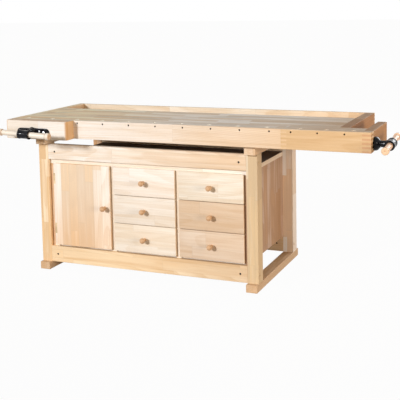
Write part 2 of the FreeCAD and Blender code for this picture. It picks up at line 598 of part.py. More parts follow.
def make_base():
    z0, z1 = FOOT_HEIGHT, CROSSBAR_Z
    y0, y1 = BASE_FRONT - FOOT_OVERHANG, BASE_BACK + FOOT_OVERHANG
    for side, x in zip(("left", "right"), POST_X):
        outer, way = bolt_ends()[0 if side == "left" else 1]
        for place, y in zip(("front", "rear"), POST_Y):
            post = board(x, x + POST_WIDTH, y, y + POST_DEPTH, z0, z1, "-x +x -y +y")
            post = joined(post, [tenon(x, y, z0 - TENON_LENGTH, z0, 0),
                                 tenon(x, y, z1, z1 + TENON_LENGTH, 0)])
            holes = []
            for by, bz in bolt_rows():
                holes += bolt_hole(outer, way, by, bz)
            keep("post_%s_%s" % (place, side), cut(post, holes))
        foot = board(x, x + POST_WIDTH, y0, y1, 0, FOOT_HEIGHT, "-x +x -y +y +z -z")
        keep("foot_" + side, cut(foot, [tenon(x, y, z0 - TENON_LENGTH - 1, z0 + 1, TENON_GAP)
                                        for y in POST_Y]))
        bar = board(x, x + POST_WIDTH, y0, y1, z1, TOP_UNDERSIDE, "-x +x -y +y -z +z")
        mortises = [tenon(x, y, z1 - 1, z1 + TENON_LENGTH + 1, TENON_GAP) for y in POST_Y]
        keep("crossbar_" + side, cut(bar, mortises + [top_bolt_hole(x), top_bolt_room(x)]))

    rails = {"front_top_rail": (BASE_FRONT, TOP_RAIL_Z, TOP_RAIL_HEIGHT),
             "front_bottom_rail": (BASE_FRONT, FOOT_HEIGHT, BOTTOM_RAIL_HEIGHT),
             "back_top_rail": (BACK_RAILS_Y, TOP_RAIL_Z, TOP_RAIL_HEIGHT),
             "back_bottom_rail": (BACK_RAILS_Y, FOOT_HEIGHT, BOTTOM_RAIL_HEIGHT)}
    for name, (y, z, height) in rails.items():
        rail = board(BAY_LEFT, BAY_RIGHT, y, y + RAIL_THICKNESS, z, z + height, "-y +y -z +z")
        holes = []
        for x, way in bolt_ends():
            holes += bolt_hole(x, way, y + RAIL_THICKNESS / 2, z + height / 2)
            holes.append(barrel_hole(x, way, y, z + height / 2))
        keep(name, cut(rail, holes))

    bolts, nuts = [], []
    for x, way in bolt_ends():
        for y, z in bolt_rows():
            head, shank = BOLT_RECESS, BOLT_RECESS + BOLT_HEAD_HEIGHT
            tip = x + way * bolt_length()
            bolts.append(joined(rod(BOLT_HEAD_RADIUS, (x + way * head, y, z), (x + way * shank, y, z)),
                                [rod(BOLT_RADIUS, (x + way * shank, y, z), (tip, y, z))]))
            nut_x = x + way * (POST_WIDTH + BARREL_NUT_INSET)
            face = y - RAIL_THICKNESS / 2 + BARREL_NUT_RECESS
            nut = rod(BARREL_NUT_RADIUS, (nut_x, face, z), (nut_x, face + BARREL_NUT_LENGTH - 1, z))
            cross = rod(BOLT_RADIUS + BORE_GAP, (nut_x - BARREL_NUT_RADIUS * 2, y, z),
                        (nut_x + BARREL_NUT_RADIUS * 2, y, z))
            slot = box(nut_x - DRIVER_SLOT_LENGTH / 2, nut_x + DRIVER_SLOT_LENGTH / 2,
                       face, face + DRIVER_SLOT_DEPTH,
                       z - DRIVER_SLOT_WIDTH / 2, z + DRIVER_SLOT_WIDTH / 2)
            nuts.append(cut(nut, [cross, slot]))
    for x in POST_X:
        px, py = top_bolt_place(x)
        seat, high = CROSSBAR_Z + TOP_BOLT_RECESS, TOP_UNDERSIDE + TOP_BOLT_BITE
        bolts.append(joined(rod(BOLT_HEAD_RADIUS, (px, py, seat - BOLT_HEAD_HEIGHT), (px, py, seat)),
                            [rod(BOLT_RADIUS, (px, py, seat), (px, py, high))]))
    keep("frame_bolts", *bolts)
    keep("barrel_nuts", *nuts)


# ---------------------------------------------------------------- the cabinet
def hinge_heights():
    low = FRONTS_BOTTOM + HINGE_INSET
    return [low, FRONTS_TOP - HINGE_INSET - HINGE_LENGTH]


def leaf_room(z, fixed):
    """The mortise for a hinge leaf: in the stile when fixed, in the door's back otherwise."""
    t = HINGE_LEAF_THICKNESS
    if fixed:
        return box(HINGE_X - HINGE_LEAF_WIDTH, HINGE_X + t, CABINET_Y, CABINET_Y + t, z, z + HINGE_LENGTH)
    return box(HINGE_X, HINGE_X + HINGE_LEAF_WIDTH, CABINET_Y - t, CABINET_Y, z, z + HINGE_LENGTH)


def make_cabinet():
    y0, y1 = CABINET_Y, CABINET_BACK_Y
    shelf_left, shelf_right = INSIDE_LEFT - SHELF_HOUSING, PARTITION_X[0] + SHELF_HOUSING
    shelf_z = INSIDE_BOTTOM + SHELF_LIFT
    housing = box(shelf_left - HOUSING_GAP, shelf_right + HOUSING_GAP, y0 + SHELF_SETBACK - HOUSING_GAP,
                  INSIDE_BACK_Y, shelf_z - HOUSING_GAP, shelf_z + SHELF_THICKNESS + HOUSING_GAP)
    keep("cabinet_shelf", board(shelf_left, shelf_right, y0 + SHELF_SETBACK, INSIDE_BACK_Y - HOUSING_GAP,
                                shelf_z, shelf_z + SHELF_THICKNESS, "-y +z -z"))
    left_side = box(BAY_LEFT, INSIDE_LEFT, y0, y1, CABINET_Z, INSIDE_TOP)
    keep("cabinet_side_left", cut(left_side, [housing]))
    keep("cabinet_side_right", box(INSIDE_RIGHT, BAY_RIGHT, y0, y1, CABINET_Z, INSIDE_TOP))
    keep("cabinet_top", box(BAY_LEFT, BAY_RIGHT, y0, y1, INSIDE_TOP, CABINET_TOP_Z))
    keep("cabinet_back", box(INSIDE_LEFT, INSIDE_RIGHT, INSIDE_BACK_Y, y1, INSIDE_BOTTOM, INSIDE_TOP))
    for name, x in zip(("partition_left", "partition_right"), PARTITION_X):
        tall = box(x, x + PARTITION_WIDTH, y0, INSIDE_BACK_Y, INSIDE_BOTTOM, INSIDE_TOP)
        toe = box(x, x + PARTITION_WIDTH, y0, y0 + BOTTOM_SETBACK, CABINET_Z, INSIDE_BOTTOM)
        keep(name, cut(joined(tall, [toe]), [housing]))
    keep("cabinet_floor", box(INSIDE_LEFT, INSIDE_RIGHT, y0 + BOTTOM_SETBACK, y1, CABINET_Z, INSIDE_BOTTOM))

    stile_tall = box(INSIDE_LEFT, STILE_RIGHT, y0, y0 + PANEL, INSIDE_BOTTOM, INSIDE_TOP)
    stile_toe = box(INSIDE_LEFT, STILE_RIGHT, y0, y0 + BOTTOM_SETBACK, CABINET_Z, INSIDE_BOTTOM)
    keep("hinge_stile", cut(joined(stile_tall, [stile_toe]), [leaf_room(z, True) for z in hinge_heights()]))


def knob(x, z):
    """A turned ball knob on a short neck, on the face of a door or drawer."""
    place = V(x, FACE_Y - KNOB_NECK_LENGTH - KNOB_RADIUS * 0.85, z)
    ball = Part.makeSphere(KNOB_RADIUS, place)
    neck = rod(KNOB_NECK_RADIUS, (x, FACE_Y, z), (x, place.y, z))
    return joined(ball, [neck])


def make_door():
    panel = board(DOOR_LEFT, DOOR_RIGHT, FACE_Y, CABINET_Y, FRONTS_BOTTOM, FRONTS_TOP, "-y -x +x -z +z")
    rooms = [leaf_room(z, False) for z in hinge_heights()]
    rooms += [rod(HINGE_KNUCKLE_RADIUS + SLIDE_GAP, (HINGE_X, HINGE_Y, z - 1),
                  (HINGE_X, HINGE_Y, z + HINGE_LENGTH + 1)) for z in hinge_heights()]
    keep("door_panel", cut(panel, rooms))
    keep("door_knob", knob(DOOR_RIGHT - DOOR_KNOB_INSET, (FRONTS_BOTTOM + FRONTS_TOP) / 2))

    fixed, moving = [], []
    t, r = HINGE_LEAF_THICKNESS, HINGE_KNUCKLE_RADIUS
    third = HINGE_LENGTH / 3
    for z in hinge_heights():
        x, y = HINGE_X, HINGE_Y
        middle = (z + third, z + 2 * third)
        pin_hole = rod(HINGE_PIN_RADIUS + PIN_GAP, (x, y, z - 1), (x, y, z + HINGE_LENGTH + 1))
        plate = box(x - HINGE_LEAF_WIDTH, x, CABINET_Y, CABINET_Y + t, z, z + HINGE_LENGTH)
        web = box(x - t, x, y, CABINET_Y + t, middle[0], middle[1])
        leaf = joined(plate, [web, rod(r, (x, y, middle[0]), (x, y, middle[1]))])
        fixed.append(cut(leaf, [pin_hole]))
        fixed.append(rod(HINGE_PIN_RADIUS, (x, y, z), (x, y, z + HINGE_LENGTH)))
        ends = [(z, middle[0] - BORE_GAP), (middle[1] + BORE_GAP, z + HINGE_LENGTH)]
        plate = box(x + r, x + HINGE_LEAF_WIDTH, CABINET_Y - t, CABINET_Y, z, z + HINGE_LENGTH)
        webs = [box(x, x + r + 1, CABINET_Y - t, CABINET_Y, a, b) for a, b in ends]
        knuckles = [rod(r, (x, y, a), (x, y, b)) for a, b in ends]
        leaf = joined(plate, webs + knuckles)
        moving.append(cut(leaf, [pin_hole]))
    keep("hinge_leaves_fixed", *fixed)
    keep("hinge_leaves_door", *moving)


# ---------------------------------------------------------------- the drawers
def column_sides(column):
    """The clear width of a column of drawers, between partition and partition or side."""
    left = PARTITION_X[column] + PARTITION_WIDTH
    right = PARTITION_X[column + 1] if column + 1 < DRAWER_COLUMN_COUNT else INSIDE_RIGHT
    return left, right


def row_bottom(row):
    return FRONTS_TOP - (row + 1) * FRONT_HEIGHT - row * ROW_GAP


def runner(x0, x1, z):
    return box(x0, x1, CABINET_Y + RUNNER_FRONT, INSIDE_BACK_Y - RUNNER_BACK, z, z + RUNNER_HEIGHT)


def make_drawer(number, column, row):
    left, right = column_sides(column)
    overlap = LAST_OVERLAP if column == DRAWER_COLUMN_COUNT - 1 else FRONT_OVERLAP
    bottom = row_bottom(row)
    face = board(left - FRONT_OVERLAP, right + overlap, FACE_Y, CABINET_Y, bottom, bottom + FRONT_HEIGHT,
                 "-y -x +x -z +z")
    middle = (left - FRONT_OVERLAP + right + overlap) / 2
    keep("drawer_%d_front" % number, face, knob(middle, bottom + FRONT_HEIGHT / 2))

    x0, x1 = left + BOX_SIDE_GAP, right - BOX_SIDE_GAP
    y0, y1 = CABINET_Y, CABINET_Y + BOX_LENGTH
    z0 = bottom + BOX_LIFT
    z1 = z0 + BOX_HEIGHT
    floor_z = z0 + BOX_BOTTOM_LIFT
    floor = box(x0 + BOX_WALL - BOX_GROOVE, x1 - BOX_WALL + BOX_GROOVE, y0 + BOX_WALL - BOX_GROOVE,
                y1 - BOX_WALL + BOX_GROOVE, floor_z, floor_z + BOX_BOTTOM_THICKNESS)
    runner_z = bottom + RUNNER_LIFT
    deep = RUNNER_THICKNESS - BOX_SIDE_GAP + SLIDE_GAP
    grooves = [box(a, b, y0 + RUNNER_FRONT - SLIDE_GAP, y1 + 1, runner_z - RUNNER_GAP,
                   runner_z + RUNNER_HEIGHT + RUNNER_GAP)
               for a, b in ((x0 - 1, x0 + deep), (x1 - deep, x1 + 1))]
    sides = [cut(box(a, b, y0, y1, z0, z1), [floor] + grooves)
             for a, b in ((x0, x0 + BOX_WALL), (x1 - BOX_WALL, x1))]
    ends = [cut(box(x0 + BOX_WALL, x1 - BOX_WALL, a, b, z0, z1), [floor])
            for a, b in ((y0, y0 + BOX_WALL), (y1 - BOX_WALL, y1))]
    keep("drawer_%d_box" % number, *(sides + ends + [floor]))
    return [runner(left, left + RUNNER_THICKNESS, runner_z),
            runner(right - RUNNER_THICKNESS, right, runner_z)]


def make_drawers():
    runners = []
    number = 0
    for column in range(DRAWER_COLUMN_COUNT):
        for row in range(DRAWER_ROW_COUNT):
            number += 1
            runners += make_drawer(number, column, row)
    keep("drawer_runners", *runners)


# ---------------------------------------------------------------- build and export
make_top()
make_front_vise()
make_tail_vise()
make_base()
make_cabinet()
make_door()
make_drawers()

os.makedirs("parts", exist_ok=True)
for node, shape in NODES.items():
    shape = shape.copy()
    shape.translate(-ORIGIN)
    assert shape.isValid(), node
    shape.exportStep("parts/%s.step" % node)
print(len(NODES), "nodes; origin moved by", tuple(round(v, 3) for v in ORIGIN))
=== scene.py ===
# %% [markdown]
# # A woodworking bench with two vises
# The bench comes in as a fixed frame of solids, one for each piece of wood or metal. This lesson
# dresses them: it gives every board its own grain, and models again, with rounder and finer
# shapes, the pieces that a hand touches: the knobs, the tommy bars, the screws and the castings.

# %% Load the frame
import bpy
import bmesh
import math
from mathutils import Matrix, Vector


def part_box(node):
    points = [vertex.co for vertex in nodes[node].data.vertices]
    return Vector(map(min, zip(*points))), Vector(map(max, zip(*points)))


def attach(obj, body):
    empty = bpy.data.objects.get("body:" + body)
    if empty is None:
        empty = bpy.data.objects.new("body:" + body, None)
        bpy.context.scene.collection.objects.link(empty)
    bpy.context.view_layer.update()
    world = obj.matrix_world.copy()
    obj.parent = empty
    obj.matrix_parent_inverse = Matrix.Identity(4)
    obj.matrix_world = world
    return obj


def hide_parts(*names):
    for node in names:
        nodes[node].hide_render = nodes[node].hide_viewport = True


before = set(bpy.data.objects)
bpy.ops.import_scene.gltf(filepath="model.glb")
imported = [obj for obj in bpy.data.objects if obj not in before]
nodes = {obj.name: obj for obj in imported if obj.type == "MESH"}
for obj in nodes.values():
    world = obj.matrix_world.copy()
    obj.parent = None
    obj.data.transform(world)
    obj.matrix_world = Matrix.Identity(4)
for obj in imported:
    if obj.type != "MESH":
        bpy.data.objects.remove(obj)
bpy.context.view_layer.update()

# %% [markdown]
# ## The camera
# A bench is shown from its front right corner and from a little above the worktop. The camera is
# tilted down by only a few degrees, so that the posts stay nearly upright, and the lens is shifted
# for the rest, which is what an architect's camera does. The numbers below give that view.

# %% Camera
LENS, SHIFT = 76.869, (-0.045, -0.27)
CAMERA_PLACE = (1.7943, -4.2216, 1.4796)
YAW, TILT, ROLL = (math.radians(angle) for angle in (22.298, 5.975, 1.044))
camera_data = bpy.data.cameras.new("bench_camera")
camera_data.sensor_width = 36.0
camera_data.lens = LENS
camera_data.shift_x, camera_data.shift_y = SHIFT
camera_data.clip_end = 200.0
camera = bpy.data.objects.new("bench_camera", camera_data)
bpy.context.scene.collection.objects.link(camera)
bpy.context.scene.camera = camera

ahead = Vector((-math.sin(YAW) * math.cos(TILT), math.cos(YAW) * math.cos(TILT), -math.sin(TILT)))
level = Vector((math.cos(YAW), math.sin(YAW), 0))
above = level.cross(ahead)
rolled_right = level * math.cos(ROLL) - above * math.sin(ROLL)
rolled_up = level * math.sin(ROLL) + above * math.cos(ROLL)
turn = Matrix((rolled_right, rolled_up, -ahead)).transposed()
camera.matrix_world = Matrix.Translation(CAMERA_PLACE) @ turn.to_4x4()
print("camera at", tuple(round(v, 3) for v in camera.location))

# %% [markdown]
# ## Shader maths in plain Python
# A wood finish needs a lot of small sums: which stave a point is in, how far along it, how near
# to a glue line. Writing them as node after node is hard to read. The class below wraps a
# socket, so that `a * 3 + b` adds the Math nodes by itself. `Finish` holds the nodes of one
# material, and its `node` method adds any other node.


# %% A socket that can be used in a sum
class Wire:
    """The output of a node. The usual operators on it add Math nodes."""

    def __init__(self, finish, socket):
        self.finish = finish
        self.socket = socket

    def math(self, operation, *values):
        return self.finish.node("ShaderNodeMath", {"operation": operation}, dict(enumerate(values)))

    def __add__(self, other):
        return self.math("ADD", self, other)

    def __radd__(self, other):
        return self.math("ADD", other, self)

    def __sub__(self, other):
        return self.math("SUBTRACT", self, other)

    def __rsub__(self, other):
        return self.math("SUBTRACT", other, self)

    def __mul__(self, other):
        return self.math("MULTIPLY", self, other)

    def __rmul__(self, other):
        return self.math("MULTIPLY", other, self)

    def __truediv__(self, other):
        return self.math("DIVIDE", self, other)

    def __gt__(self, other):
        return self.math("GREATER_THAN", self, other)

    def __lt__(self, other):
        return self.math("LESS_THAN", self, other)

    def floor(self):
        return self.math("FLOOR", self)

    def fraction(self):
        return self.math("FRACT", self)

    def absolute(self):
        return self.math("ABSOLUTE", self)

    def root(self):
        return self.math("SQRT", self)

    def most(self, other):
        return self.math("MAXIMUM", self, other)

    def between(self, low, high):
        """0 below low, 1 above high and a smooth rise between them."""
        return self.finish.node("ShaderNodeMapRange", {"interpolation_type": "SMOOTHSTEP"},
                                {"Value": self, "From Min": low, "From Max": high})


class Finish:
    """The nodes of one material or of the world, with a method that adds a node and joins its inputs."""

    def __init__(self, owner):
        self.owner = owner
        owner.use_nodes = True
        self.tree = owner.node_tree
        self.tree.nodes.clear()

    def node(self, kind, settings=None, inputs=None, out=0):
        made = self.tree.nodes.new(kind)
        for key, value in (settings or {}).items():
            setattr(made, key, value)
        for key, value in (inputs or {}).items():
            if isinstance(value, Wire):
                self.tree.links.new(value.socket, made.inputs[key])
            else:
                made.inputs[key].default_value = value
        return Wire(self, made.outputs[out]) if len(made.outputs) else None

    def several(self, kind, outputs, inputs=None):
        """Some of the outputs of one new node, by their names or numbers."""
        made = self.node(kind, None, inputs).socket.node
        return [Wire(self, made.outputs[out]) for out in outputs]

    def mix(self, factor, a, b):
        """Mix two colours. Each is a wire or three numbers."""
        a, b = [v if isinstance(v, Wire) else (*v, 1) for v in (a, b)]
        return self.node("ShaderNodeMix", {"data_type": "RGBA"}, {0: factor, 6: a, 7: b}, out=2)

    def vector(self, x, y, z):
        return self.node("ShaderNodeCombineXYZ", None, {0: x, 1: y, 2: z})

    def split(self, wire):
        return self.several("ShaderNodeSeparateXYZ", range(3), {0: wire})

    def noise(self, where, scale, detail=2.0, roughness=0.5):
        return self.node("ShaderNodeTexNoise", None,
                         {"Vector": where, "Scale": scale, "Detail": detail, "Roughness": roughness})

    def chance(self, where):
        """A number from 0 to 1 that is the same over each whole step of where."""
        return self.node("ShaderNodeTexWhiteNoise", {"noise_dimensions": "3D"}, {"Vector": where})

    def surface(self, inputs):
        shader = self.node("ShaderNodeBsdfPrincipled", None, inputs)
        self.node("ShaderNodeOutputMaterial", None, {"Surface": shader})
        return self.owner


def new_finish(name):
    return Finish(bpy.data.materials.new(name))


# The outputs of the Texture Coordinate node that are used here.
NORMAL, OBJECT = 1, 3
print("shader helpers are ready")

# %% [markdown]
# ## Wood
# The bench is glued up from many short staves. Each stave is cut from its own plank, so its tone
# and figure differ from its neighbours', and a fine glue line shows between them. An image of
# wood could be wrapped round each board, but then it would repeat and end at the edges. The
# finish is worked out from a point's place instead, so it runs through the board as real wood
# does. It is built in five short steps, and the sixth joins them.
#
# The first step only makes a tone lighter, darker or more golden.


# %% Tones
def lighter(colour, amount=1.0):
    return tuple(min(0.97, v * (1 + k * amount)) for v, k in zip(colour, (0.06, 0.09, 0.14)))


def darker(colour, amount=1.0):
    return tuple(v * (1 - k * amount) for v, k in zip(colour, (0.13, 0.21, 0.30)))


def golden(colour):
    return tuple(v * k for v, k in zip(colour, (0.90, 0.755, 0.58)))


X, Y, Z = 0, 1, 2
print("a pale beech made darker is", tuple(round(v, 2) for v in darker((0.90, 0.75, 0.55))))

# %% [markdown]
# ### A point in its stave
# This step finds which stave a point is in and how far the glue lines are. Each stave draws three
# random numbers: its tone, how warm it is, and how its plank leans in the log.
#
# A log is a bundle of thin cones, one for each year. A plank that is sawn a little off the
# middle cuts them in long pointed arches. The step works out the distance of a point from the
# middle line of its log, and each year of that distance will draw one dark line.

# %% A point in its stave
YEAR = 0.0085
WIDEST_PLANK = 0.12
GLUE_LINE = (0.0002, 0.0010)


class Stave:
    """Where a point lies in a board of glued staves, and what its stave has drawn by lot.

    along and across are 0, 1 or 2: the axis of the fibres and the axis that the staves are laid on."""

    def __init__(self, finish, along, across, width, length, seed):
        self.finish = f = finish
        self.axes = f.split(f.node("ShaderNodeTexCoord", out=OBJECT))
        self.facing = f.split(f.node("ShaderNodeTexCoord", out=NORMAL))
        self.run, self.side, self.depth = [self.axes[i] for i in (along, across, 3 - along - across)]

        lane, lane_edge = (self.side / width + seed).floor(), (self.side / width + seed).fraction()
        shift = f.chance(f.vector(lane, seed * 3.1, 7.0)) * 5.0
        block, block_edge = (self.run / length + shift).floor(), (self.run / length + shift).fraction()
        self.tone = f.chance(f.vector(lane, block, seed + 1.5))
        self.warm = f.chance(f.vector(block, lane, seed + 9.5))
        self.lean = f.chance(f.vector(block, seed, lane + 4.5))

        seam = (0.5 - (lane_edge - 0.5).absolute()) * width
        butt = (0.5 - (block_edge - 0.5).absolute()) * length
        self.glue = 1.0 - seam.between(*GLUE_LINE) * butt.between(*GLUE_LINE)

        sway = self.grain((self.tone * 11.0, self.warm * 3.0, self.lean * 5.0), 1.4, 7.0, 2.0) - 0.5
        middle = (lane_edge - 0.5) * min(width, WIDEST_PLANK) + (self.warm - 0.5) * 0.05 + sway * 0.022
        heart = self.depth + (self.lean - 0.5) * self.run * 0.10 + self.tone * 0.045 + 0.014 + sway * 0.030
        self.from_log = (middle * middle + heart * heart).root()

    def grain(self, moves, along, across, detail, roughness=0.5):
        """Noise that is drawn out along the fibres. moves says where in the log the stave was cut."""
        places = [axis + move for axis, move in zip((self.run, self.side, self.depth), moves)]
        stretched = [place * scale for place, scale in zip(places, (along, across, across))]
        return self.finish.noise(self.finish.vector(*stretched), 1.0, detail, roughness)


print("a year ring every", YEAR * 1000, "mm")

# %% [markdown]
# ### The figure
# Four things draw the figure: the year rings, narrow bands, fine streaks along the fibre, and
# wide soft blotches where the wood is more golden. Fibres and short dark pores, finer still, also
# go into the bump. All tones of a board share these noises, so that they are drawn only once.

# %% The figure of a plank
PORE_AT = 0.66


def draw_figure(stave):
    """Add the noises of the figure to a stave, so that all its tones share them."""
    tone, warm, lean = stave.tone, stave.warm, stave.lean
    year = (stave.from_log / YEAR).fraction()
    stave.ring = year.between(0.25, 0.86) * (1.0 - year.between(0.90, 1.0))
    stave.streak = stave.grain((tone * 11.0, warm * 3.0, lean), 3.0, 130.0, 3.0, 0.6)
    stave.fibre = stave.grain((tone * 3.0, warm, lean), 24.0, 640.0, 2.0, 0.6)
    stave.blotch = stave.grain((tone * 7.0, warm, 0.0), 2.6, 12.0, 3.0, 0.6)
    stave.band = stave.grain((tone * 5.0, warm * 2.0, lean), 1.8, 44.0, 3.0, 0.65)
    stave.pore = stave.grain((warm, tone, 0.0), 60.0, 1100.0, 1.0, 0.4) > PORE_AT


def plank(stave, base, spread, flame):
    """The base tone with the stave's own tone and its figure."""
    mix = stave.finish.mix
    tint = mix((stave.tone - 0.5) * (spread * 1.2) + 0.5, lighter(base), darker(base, 0.6 + 0.4 * spread))
    tint = mix(stave.warm.between(0.52, 0.86) * (0.72 * spread), tint, golden(base))
    tint = mix((1.0 - stave.band.between(0.26, 0.50)) * (0.55 * flame), tint, lighter(base, 1.5))
    tint = mix(stave.blotch.between(0.52, 0.74) * (0.42 * flame), tint, golden(base))
    lines = stave.ring * (0.42 * flame) + stave.streak.between(0.30, 0.72) * 0.34
    return mix(lines + stave.band.between(0.50, 0.76) * (0.62 * flame), tint, darker(base, 1.45))


print("pores where the noise is over", PORE_AT)

# %% [markdown]
# ### The worn and lit upper face
# A worktop's upper face has seen hands, tools and light. Its tone changes along the bench, and
# darker stains and paler scuffs lie over the staves. Its greyer middle is partly painted sheen, and
# the same upward tones serve as painted shade on the cabinet's top, under the worktop.


# %% The worn and lit upper face
def worn_and_lit_face(stave, upward_wear_and_light, spread):
    """upward_wear_and_light lists the tones of the face that looks up, each with the place along X where it is
    reached. On the worktop they hold a painted sheen, on the cabinet's top a painted shade.
    """
    f, streak = stave.finish, stave.streak.between(0.3, 0.7)
    stains = stave.grain((0.0, 0.0, 0.0), 3.4, 16.0, 4.0, 0.65)
    scuffs = stave.grain((0.0, 0.0, 0.0), 9.0, 60.0, 3.0, 0.7)
    shade = (stave.tone - 0.5) * (spread * 1.5) + streak * 0.3 + (stave.band - 0.5) * 1.8 + 0.32
    tones = [f.mix(shade, lighter(tone, 1.8), darker(tone, 1.6)) for place, tone in upward_wear_and_light]
    tint = tones[0]
    for (start, _), (end, _), following in zip(upward_wear_and_light, upward_wear_and_light[1:], tones[1:]):
        tint = f.mix(stave.axes[X].between(start, end), tint, following)
    usual = upward_wear_and_light[len(upward_wear_and_light) // 2][1]
    tint = f.mix(stains.between(0.44, 0.68) * 0.55, tint, tuple(v * 0.66 for v in usual))
    return f.mix(scuffs.between(0.54, 0.76) * 0.50, tint, tuple(v * 1.30 for v in usual))


print("worn face is ready")

# %% [markdown]
# ### Sawn ends and holes
# Across the sawn ends the fibres are seen end on, which makes them darker and warmer, with the
# year rings as arcs. The upright dog holes have pale rims and walls: a painted highlight, standing
# in for the light that falls into them. The small holes in the side are painted near black, as
# painted shade inside them.

# %% Sawn ends and holes
RIM_RADIUS, HOLE_REACH = 0.0125, 0.012
# Hole colours: the pale one is a painted highlight on the rims and walls of the dog holes, the near-black one
# is painted shade inside the side holes.
HOLE_LIGHT, HOLE_SHADE = (0.97, 0.91, 0.78), (0.016, 0.008, 0.005)


def sawn_tint(stave, tone, spread):
    f = stave.finish
    speck = stave.grain((0.0, 0.0, 0.0), 90.0, 500.0, 3.0, 0.6)
    arcs = (stave.from_log / (YEAR * 0.7)).fraction().between(0.3, 0.9)
    tint = f.mix(speck * 0.5 + arcs * 0.35, lighter(tone), darker(tone, 1.6))
    return f.mix(stave.warm.between(0.3, 0.7) * min(0.9, 1.6 * spread), tint, golden(tone))


def mark_holes(stave, tint, holes):
    """holes is (place along Y, first place along X, step, strength) of a row of upright holes."""
    f, (row, first, step, strength) = stave.finish, holes
    level, flat = [stave.facing[i].absolute() < 0.06 for i in (Y, Z)]
    round_in_x, round_in_z = [stave.facing[i].absolute() < 0.996 for i in (X, Z)]
    # Painted shade: the walls of the side holes are painted near black.
    tint = f.mix(level * round_in_x * round_in_z, tint, HOLE_SHADE)
    beside = (((stave.axes[X] - first) / step + 0.5).fraction() - 0.5) * step
    behind = stave.axes[Y] - row
    rim = ((beside * beside + behind * behind).root() < RIM_RADIUS) * (stave.facing[Z] > 0.5)
    wall = flat * (behind.absolute() < HOLE_REACH)
    # Painted highlight: the rims and walls of the upright holes are painted pale.
    return f.mix(rim.most(wall) * strength, tint, HOLE_LIGHT)


print("pale rims out to", RIM_RADIUS * 1000, "mm from a hole's middle")

# %% [markdown]
# ### The whole finish
# The last step joins the others: the plank's tones, the worn and lit upper face, the pores and the
# glue lines, the sawn ends and the holes with their painted light and shade. The fibres, the pores
# and the glue lines also make the bump, and sawn wood is less glossy than planed wood.


# %% A finish for glued staves
def stave_wood(name, along, across, width, length, colour, seed=0.0, spread=0.5, flame=0.5, drift=None,
               upward_wear_and_light=None, sawn=0.45, sawn_colour=None, holes=None, roughness=0.50, gloss=0.06):
    """drift is (from, to, colour): the board's tone changes along the fibres between the two places.
    spread says how much the staves differ, flame how strong the figure is, and sawn how strongly
    the sawn ends show."""
    f = new_finish(name)
    stave = Stave(f, along, across, width, length, seed)
    draw_figure(stave)
    tint = plank(stave, colour, spread, flame)
    if drift:
        tint = f.mix(stave.run.between(drift[0], drift[1]), tint, plank(stave, drift[2], spread, flame))
    if upward_wear_and_light:
        # Faces that look up take the upward tones: wear, and on some boards painted sheen and painted shade.
        tint = f.mix(stave.facing[Z].between(0.6, 0.95) * 0.94, tint, worn_and_lit_face(stave, upward_wear_and_light, spread))

    dark = tuple(v * 0.50 for v in darker(colour))
    tint = f.mix(stave.pore * 0.16, tint, dark)
    tint = f.mix(stave.glue * 0.26, tint, dark)

    sawn_end = stave.facing[along].absolute().between(0.12, 0.80)
    sawn_tone = sawn_colour or tuple(v * k for v, k in zip(colour, (0.90, 0.80, 0.68)))
    tint = f.mix(sawn_end * sawn, tint, sawn_tint(stave, sawn_tone, spread))
    if holes:
        tint = mark_holes(stave, tint, holes)

    height = stave.fibre * 0.5 + stave.streak * 0.4 - stave.glue * 1.2 - stave.pore * 0.5
    bump = f.node("ShaderNodeBump", None, {"Height": height, "Strength": 0.22, "Distance": 0.0006})
    rough = stave.fibre * 0.12 + stave.streak * 0.10 + sawn_end * 0.16 + (roughness - 0.10)
    return f.surface({"Base Color": tint, "Roughness": rough, "Normal": bump, "Specular IOR Level": gloss})


print("wood finish is ready")
